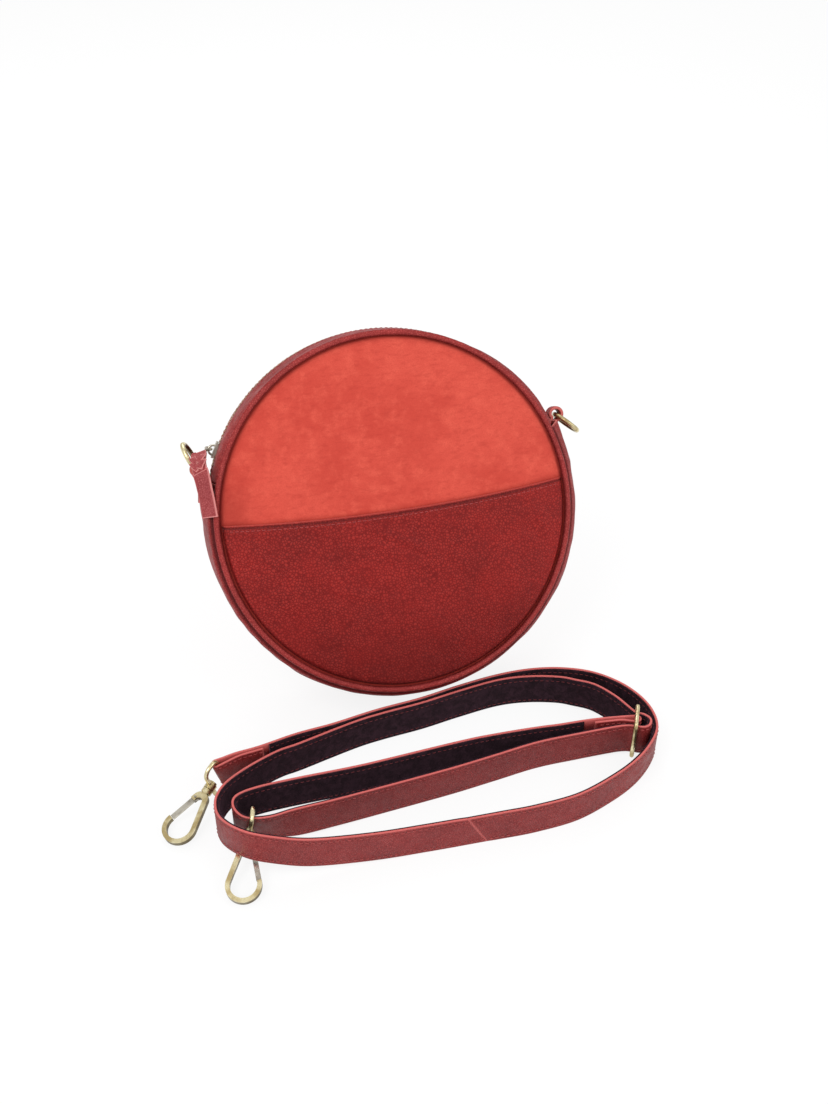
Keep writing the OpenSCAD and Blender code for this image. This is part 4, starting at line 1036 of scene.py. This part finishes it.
def pull_head():
    """Runs from the slit to the side's end plus the point; a fourth power rounds the height across it."""
    v, t = np.meshgrid(np.sin(np.linspace(-1, 1, 33) * math.pi / 2), np.linspace(0, 1, 16))
    slit = SLIT * (1 - step(np.abs(v), 0.32, 0.42))
    s = slit - SLIT_ABOVE + (HEAD_SIDE + HEAD_POINT * (1 - np.abs(v)) - slit) * t
    lift = 1.1 + 0.5 * (1 - v ** 4) + 0.35 * step(t, 0.5, 1) - 1.3 * (1 - step(t, 0, 0.2))
    across = (HEAD_HALF + HEAD_FLARE * step(t, 0.05, 0.6)) * v
    top, under = (np.moveaxis(on_pull(s, across, height)[0], -1, 0) for height in (lift, lift - HEAD_T))
    edge = np.maximum(0.9 * (np.abs(v) > 0.97), step(t, 0.93, 1.0))
    surface("pull_head", np.concatenate([bag(*top), bag(*under)[:, ::-1]], 1), PULL, "pull", "pull_leather",
            close_v=True, caps=True, shade=0.0, rim=np.concatenate([edge, edge], 1))


pull_head()

# %% Two levels of crossed strands
STRAND_STARTS = 5.0, 9.6                     # where the two levels begin on the pull
STRAND_LONG, STRAND_T = 6.6, 1.3
STRAND_SIDE, STRAND_IN = 3.7, 3.4            # a strand begins at the side and comes this far in

t = np.linspace(0, 1, 11)
for level, start in enumerate(STRAND_STARTS):
    for side, name in ((-1, "left"), (1, "right")):
        under = side < 0
        lift = 1.0 + 0.8 * np.sin(math.pi * (0.1 + 0.8 * t)) - 0.15 * level + 0.3 * (not under)
        pull_strip(f"pull_strand_{level}_{name}", start + STRAND_LONG * t ** 0.9 + 0.5 * under,
                   side * (STRAND_SIDE - STRAND_IN * t ** 1.2), lift, np.linspace(4.4, 3.8, 11), STRAND_T)

# %% [markdown]
# ## The strap's route on the floor
#
# The strap lies unclipped in a flat coil and stands on its edge. A physics run could drop it, but then it
# would land where it likes. Its route was given in the frame's source, and it is repeated here. Each
# station has a place on the floor, a height of the lower edge over the floor, and how far the upper edge
# leans. The laps near the hooks ride up on each other, and so they have some height. The leather is in two
# parts that meet at a slanted seam. The frame calls the one from the left hook to the seam "long", and the
# one from the seam to the slider "short", whatever their lengths are here.

# %% Stations of the route
# x, y, height of the lower edge, lean of the upper edge in x and y
START_TAIL = [(-89, -45.6, 1.5, 0, 0), (-96, -47.1, 2, 0, 0), (-103, -48.9, 3.2, -0.6, -0.5),
              (-109.5, -51.6, 4.4, -1.8, -1.6)]
LAP_FAR = [(-111.5, -49.5, 4.4, -1.8, -1.6), (-104, -47.6, 3.2, -0.6, -0.5), (-90, -44.6, 1.5, 0, 0),
           (-67, -38.6, 0.3, 0, 0), (-43, -35.5, 0, 0, 0), (-15, -30.5, 0, 0, 0), (14, -27.3, 0, 0, 0),
           (40, -22.5, 0, 0, 0), (66, -19, 0, 0, 0), (88, -18.8, 0, 0, 0), (108, -22.5, 0, 0, 0),
           (126, -30.5, 0, 0, 0), (139, -42.5, 0, 0, 0), (147, -56, 0, 0, 0), (150.5, -70, 0, 0, 0),
           (149, -84, 0, 0, 0), (142, -95, 0, 0, 0), (128, -107, 0, 0, 0), (110, -116.5, 0, 0, 0),
           (84, -125.5, 0, 0, 0), (57, -128, 0, 0, 0), (36, -127.7, 0, 0, 0), (21.6, -127.3, 0, -6.3, 0)]
LAP_NEAR = [(21.6, -127.3, 0, -6.3, 0), (8, -126.8, 0, 0, 0), (-8, -126.6, 0.5, 0, 0), (-35, -126.5, 2, 0, 0),
            (-63, -125.5, 4.6, 0, 0), (-80, -124.5, 7.6, 0, 0), (-95, -122.3, 11.8, 0, 0), (-106, -119.5, 14.9, 0, 0),
            (-113.3, -113.8, 14.8, 0, 0), (-118.2, -105.5, 11.8, 0, 0), (-121, -97, 8.4, 0, 0),
            (-121.7, -89, 6.6, 0, 0), (-120, -80, 5, 0, 0), (-113.5, -70, 3.5, 0, 0), (-100, -60, 2, 0, 0),
            (-81, -50.5, 0.7, 0, 0), (-66, -46.5, 0, 0, 0), (-31, -37.3, 0, 0, 0), (-11, -34, 0, 0, 0),
            (14, -31.3, 0, 0, 0), (40, -26.8, 0, 0, 0), (66, -23.5, 0, 0, 0), (86, -25, 0, 0, 0),
            (104, -30.5, 0.5, 0, 0), (114, -36.5, 1, 0, 0), (124, -44.5, 1.8, 0, 0), (131.8, -57.5, 2.6, 0, 0),
            (135.6, -68.2, 3.4, 0, 0), (138.6, -75.4, 3.5, 0, 0), (142.6, -78.2, 3.5, 0, 0),
            (144.9, -82.3, 3.5, 0, 0), (143, -86.3, 3.5, 0, 0), (139.2, -87.4, 3.5, 0, 0), (134.8, -85.4, 3.5, 0, 0),
            (130, -83.2, 3, 0, 0), (122, -82, 2.5, 0, 0), (99, -80.5, 0.8, 0, 0), (74, -80.3, 0, 0, 0),
            (46, -84, 0, 0, 0), (18, -87.7, 0, 0, 0), (-24, -92, 0.3, 0, 0), (-55, -96, 1.8, 0, 0),
            (-78, -98.4, 3, 0, 0), (-92, -98.6, 3.8, 0, -2.2), (-102.4, -97.3, 4.7, 0, -3),
            (-108.3, -95, 4.7, 0, -2.2), (-111.6, -90.2, 4.6, 0, -0.6), (-111, -84.6, 4.7, 0, 0),
            (-105.8, -80.7, 4.3, 0, 0), (-94, -78, 3.5, 0, 0), (-73, -75.5, 1.7, 0, 0), (-30, -73.3, 0, 0, 0),
            (27, -69.5, 0, 0, 0), (50, -69, 0, 0, 0), (78, -69.9, 0, 0, 0), (91, -71.5, 0.7, 0, 0),
            (111, -73.5, 2, 0, 0), (130, -77.2, 3.5, 0, 0)]
END_TAIL = [(133.5, -80.4, 3.5, 0, 0), (128, -78.2, 3.5, 0, 0), (120, -76.6, 2.8, 0, 0), (112, -75.1, 2.2, 0, 0)]
print("stations of the route:", len(LAP_FAR) + len(LAP_NEAR))

# %% Folds round the left hook's bar and the slider's bar
BAR_WRAP = 1.65                              # radius of a fold


def wrap(place, z, lean, start, end, heading=0, dip=0):
    """Stations on an arc round a bar, with a height that rises and falls where the bar dips."""
    a = np.radians(np.linspace(start, end, 13))
    slope = math.sin(math.radians(dip))
    return np.stack(np.broadcast_arrays(
        place[0] + BAR_WRAP * np.cos(a), place[1] + BAR_WRAP * np.sin(a),
        z - BAR_WRAP * np.cos(a - math.radians(heading)) * slope, *lean), -1)


FINE, FINE_TAIL = 8, 4                       # steps between two stations of a lap, and of a tail
LINING_AFTER, LINING_BEFORE = 18, 10         # steps without a lining after the hook's fold and before the slider's
HOOK_FOLD = wrap((-115.3, -52.2), 5.2, (-2.4, -2.2), -68, -254, heading=222.7, dip=16.4)
SLIDER_FOLD = wrap((137.2, -80.5), 3.9, (0, 0), 76, -118)
far, near = smooth(LAP_FAR, FINE), smooth(LAP_NEAR, FINE)
HOOK_ROUTE = np.vstack([smooth(START_TAIL, FINE_TAIL), HOOK_FOLD, far])
SLIDER_ROUTE = np.vstack([near, SLIDER_FOLD, smooth(END_TAIL, FINE_TAIL)])
LINING_ROUTE = np.vstack([far[LINING_AFTER:], near[1:-LINING_BEFORE]])
print("stations after smoothing:", len(HOOK_ROUTE) + len(SLIDER_ROUTE))

# %% [markdown]
# ## The strap's layers
#
# The strap is leather outside and dark cloth inside, sewn together along both edges. Each layer is a tube
# with its own section, from the line between the layers to its own face. The section has a pale cut edge,
# a flat edge strip, the groove of the stitches, and a slight swell at the middle. Solidify could thicken one
# sheet, but both sides would look alike, and the groove and the pale edge would be lost.

# %% The line between the layers
STRAP_W, LEATHER_T, LINING_T = 22.6, 1.5, 1.1
SET_PLACE = np.array([1.2, 0.65])            # the route's origin in the frame


def strap_line(route, side):
    """Middle of the strap, the way to its upper edge, and the way out of the face on the given side."""
    x, y, z, lean_x, lean_y = route.T
    ahead, behind = np.vstack([route[1:, :2], route[-1:, :2]]), np.vstack([route[:1, :2], route[:-1, :2]])
    way = unit(ahead - behind)
    out = np.stack([-way[:, 1], way[:, 0], np.zeros(len(route))], -1) * side
    lean = np.hypot(lean_x, lean_y)
    half = np.sqrt(STRAP_W ** 2 / 4 - np.where(z > 0, lean ** 2, 0))
    middle = np.stack([x + SET_PLACE[0], y + SET_PLACE[1], np.maximum(0, z) + STRAP_W / 2], -1)
    return middle, np.stack([lean_x, lean_y, half], -1), out


for name, route in (("hook to seam", HOOK_ROUTE), ("seam to slider", SLIDER_ROUTE)):
    print(f"leather from {name}: {run_along(strap_line(route, 1)[0])[-1]:.1f} mm with its folded tail")

# %% One layer
STITCH_DOWN = 2.5                            # distance of the stitches from the layer's edge


def layer_section(thick, inset):
    """Rows of (height out of the middle line, share of the half width, paleness), down one face and back."""
    half = STRAP_W / 2
    top = 1 - inset / half
    corner = [(0.3, top, 1), (thick - 0.35, top, 1), (thick - 0.08, top - 0.25 / half, 0.5),
              (thick, top - 0.7 / half, 0), (thick + 0.03, top - 2.0 / half, 0),
              (thick - 0.1, top - STITCH_DOWN / half, 0), (thick + 0.03, top - 3.0 / half, 0),
              (thick + 0.06, top - 5 / half, 0)]
    return np.array([(0.02, top - 0.2 / half, 0.8), *corner, (thick + 0.09, 0.35, 0), (thick + 0.1, 0, 0),
                     (thick + 0.09, -0.35, 0), *[(t, -v, pale) for t, v, pale in corner[::-1]],
                     (0.02, -top + 0.2 / half, 0.8), (0.0, -0.4, 0), (0.0, 0.0, 0), (0.0, 0.4, 0)])


def layer(name, route, side, thick, look, slot, node, inset=0.0, cut=True):
    """The section carried along the route: middle, plus share times half width, plus height times out."""
    middle, up, out = strap_line(route, side)
    t, v, pale = layer_section(thick, inset).T
    grid = middle[:, None] + up[:, None] * v[:, None] + out[:, None] * t[:, None]
    rim = np.tile(pale, (len(middle), 1))
    if cut:
        rim[[0, -1]] = 0.8
    at_stitches = np.isclose(np.abs(v), 1 - (inset + STITCH_DOWN) / (STRAP_W / 2))
    uv = np.stack(np.broadcast_arrays(run_along(middle)[:, None], v * STRAP_W / 2), -1).reshape(-1, 2)
    surface(name, grid, look, "strap", slot, close_v=True, caps=True, node=node, rim=rim, shade=0.35 * at_stitches,
            run=uv, flip=side < 0)


LINING_INSET = 0.35                          # the lining's edge lies this much inside the leather's
layer("strap_long_leather", HOOK_ROUTE, 1, LEATHER_T, STRAP, "strap_leather", "strap_leather_long")
layer("strap_short_leather", SLIDER_ROUTE, 1, LEATHER_T, STRAP, "strap_leather", "strap_leather_short")
layer("strap_lining_nap", LINING_ROUTE, -1, LINING_T, LINING, "strap_lining", "strap_lining", LINING_INSET, False)

# %% Stitches along both edges of the strap
def edge_rows(route, side, inset, rise):
    """Two paths along the strap, one beside each edge, with the way out of the face at each point."""
    middle, up, out = strap_line(route, side)
    share = 1 - (STITCH_DOWN + inset) / (STRAP_W / 2)
    return [(middle + up * v * share + out * rise, out) for v in (1, -1)]


leather_rows = [row for route in (HOOK_ROUTE, SLIDER_ROUTE) for row in edge_rows(route, 1, 0, LEATHER_T - 0.02)]
stitches("strap_stitches_out", leather_rows, "strap", "strap_leather")
stitches("strap_stitches_in", edge_rows(LINING_ROUTE, -1, LINING_INSET, LINING_T - 0.05), "strap", "strap_lining",
         DARK_THREAD)

# %% [markdown]
# ## Metal parts and hidden cloth
#
# Rings, hooks, zip and strap slider are cast or bent metal. They could be built once more as surfaces, but
# the frame's own solids are smooth enough and exactly where the joints turn them. So those are shown, and so
# are the three linings inside the bag. Each of these parts only gets its finish, chosen by its name.

# %% A finish for each part that the frame keeps
for name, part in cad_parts.items():
    if name in ("front_lining", "back_lining", "gusset_lining"):
        look = CLOTH
    elif name.startswith("hook_frame"):
        look = HOOK_BRASS[name.split("_")[-1]]
    elif name.endswith("_ring"):
        look = RING_BRASS[name.split("_")[0]]
    elif "gate" in name or name in ("zip_slider", "zip_puller"):
        look = STEEL
    else:
        look = BRASS
    part.data.materials.clear()
    part.data.materials.append(look)
print("parts with a finish:", len(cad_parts))

# %% [markdown]
# ## The floor
#
# The set is white paper, so bright that it melts into the background, and only a soft shadow tells where the
# floor is. More light would do that too, but it would bleach the bag. So the paper itself glows, and only
# for rays that come from the camera or are mirrored in metal. All other light still sees plain paper.

# %% White paper that keeps its shadow
FLOOR_SIZE = 6                               # metres
GLOW_SHARE = 0.85                            # of what the camera sees of the paper; the rest is lit paper

bpy.ops.mesh.primitive_plane_add(size=FLOOR_SIZE, location=(0, 0, 0))
floor = bpy.context.object
floor.name = "floor"
paper = Look("white_paper", 0.9)
floor.data.materials.append(paper.done(Base_Color=rgb(250, 250, 250)))
glow = paper.node("ShaderNodeEmission", {"Color": (1, 1, 1, 1), "Strength": 1.0})
seen, mirrored, through = (paper.node("ShaderNodeLightPath", out=f"Is {kind} Ray")
                           for kind in ("Camera", "Glossy", "Transmission"))
both = paper.node("ShaderNodeMixShader", {0: (seen | mirrored | through) * GLOW_SHARE,
                                          1: Wire(paper, paper.shader.outputs[0]), 2: glow})
paper.feed(paper.tree.nodes["Material Output"].inputs["Surface"], both)

# %% [markdown]
# ## Light
#
# A photographer would hang three soft boxes round such a bag: a strong one in front at the left, a weak one
# at the right, and one behind that draws a light line along the rim. An image of a studio could light it too,
# but three lamps need no file, and each can be turned up or down alone. A white world fills the rest, so that
# no shadow is black. The lamps stay weak enough for a colour to look as it was written.

# %% The world and three soft lamps
world = bpy.data.worlds.new("studio")
bpy.context.scene.world = world
world.use_nodes = True
world.node_tree.nodes["Background"].inputs["Color"].default_value = (1, 1, 1, 1)
world.node_tree.nodes["Background"].inputs["Strength"].default_value = 0.75


def soft_lamp(name, place, aim, size, power):
    """A square lamp at a place, turned towards its aim, in metres and watts."""
    light = bpy.data.lights.new(name, "AREA")
    light.energy, light.size = power, size
    made = bpy.data.objects.new(name, light)
    bpy.context.scene.collection.objects.link(made)
    made.location = place
    made.rotation_euler = (Vector(aim) - Vector(place)).to_track_quat("-Z", "Y").to_euler()
    print(f"lamp {name}: {power} W")


soft_lamp("key", (-0.9, -0.7, 1.6), (0, 0, 0.1), 0.9, 14)
soft_lamp("fill", (1.1, -0.9, 1.1), (0, 0, 0.1), 1.0, 6)
soft_lamp("back", (0.1, 1.2, 1.2), (0, 0, 0.12), 0.8, 6)

# %% [markdown]
# ## Camera
#
# The camera looks down at the bag from in front, a little from the left, over half a metre above the floor.
# It could be placed by eye, but then either the bag or the strap would be off. So its place, its aim and its
# lens were fitted together until the bag's circle, the floor and the strap fell where the photograph has them.

# %% The photograph's camera
LENS, SENSOR = 40.76, 36                     # millimetres
CAMERA_PLACE, CAMERA_WAY = (-0.1298, -0.57585, 0.5746), (0.197, 0.769, -0.609)

scene = bpy.context.scene
scene.view_settings.view_transform = "Standard"
lens = bpy.data.cameras.new("camera")
lens.lens, lens.sensor_width, lens.clip_start = LENS, SENSOR, 0.01
camera = bpy.data.objects.new("camera", lens)
scene.collection.objects.link(camera)
camera.location = CAMERA_PLACE
camera.rotation_euler = Vector(CAMERA_WAY).to_track_quat("-Z", "Y").to_euler()
scene.camera = camera
print("camera at", CAMERA_PLACE, "metres")
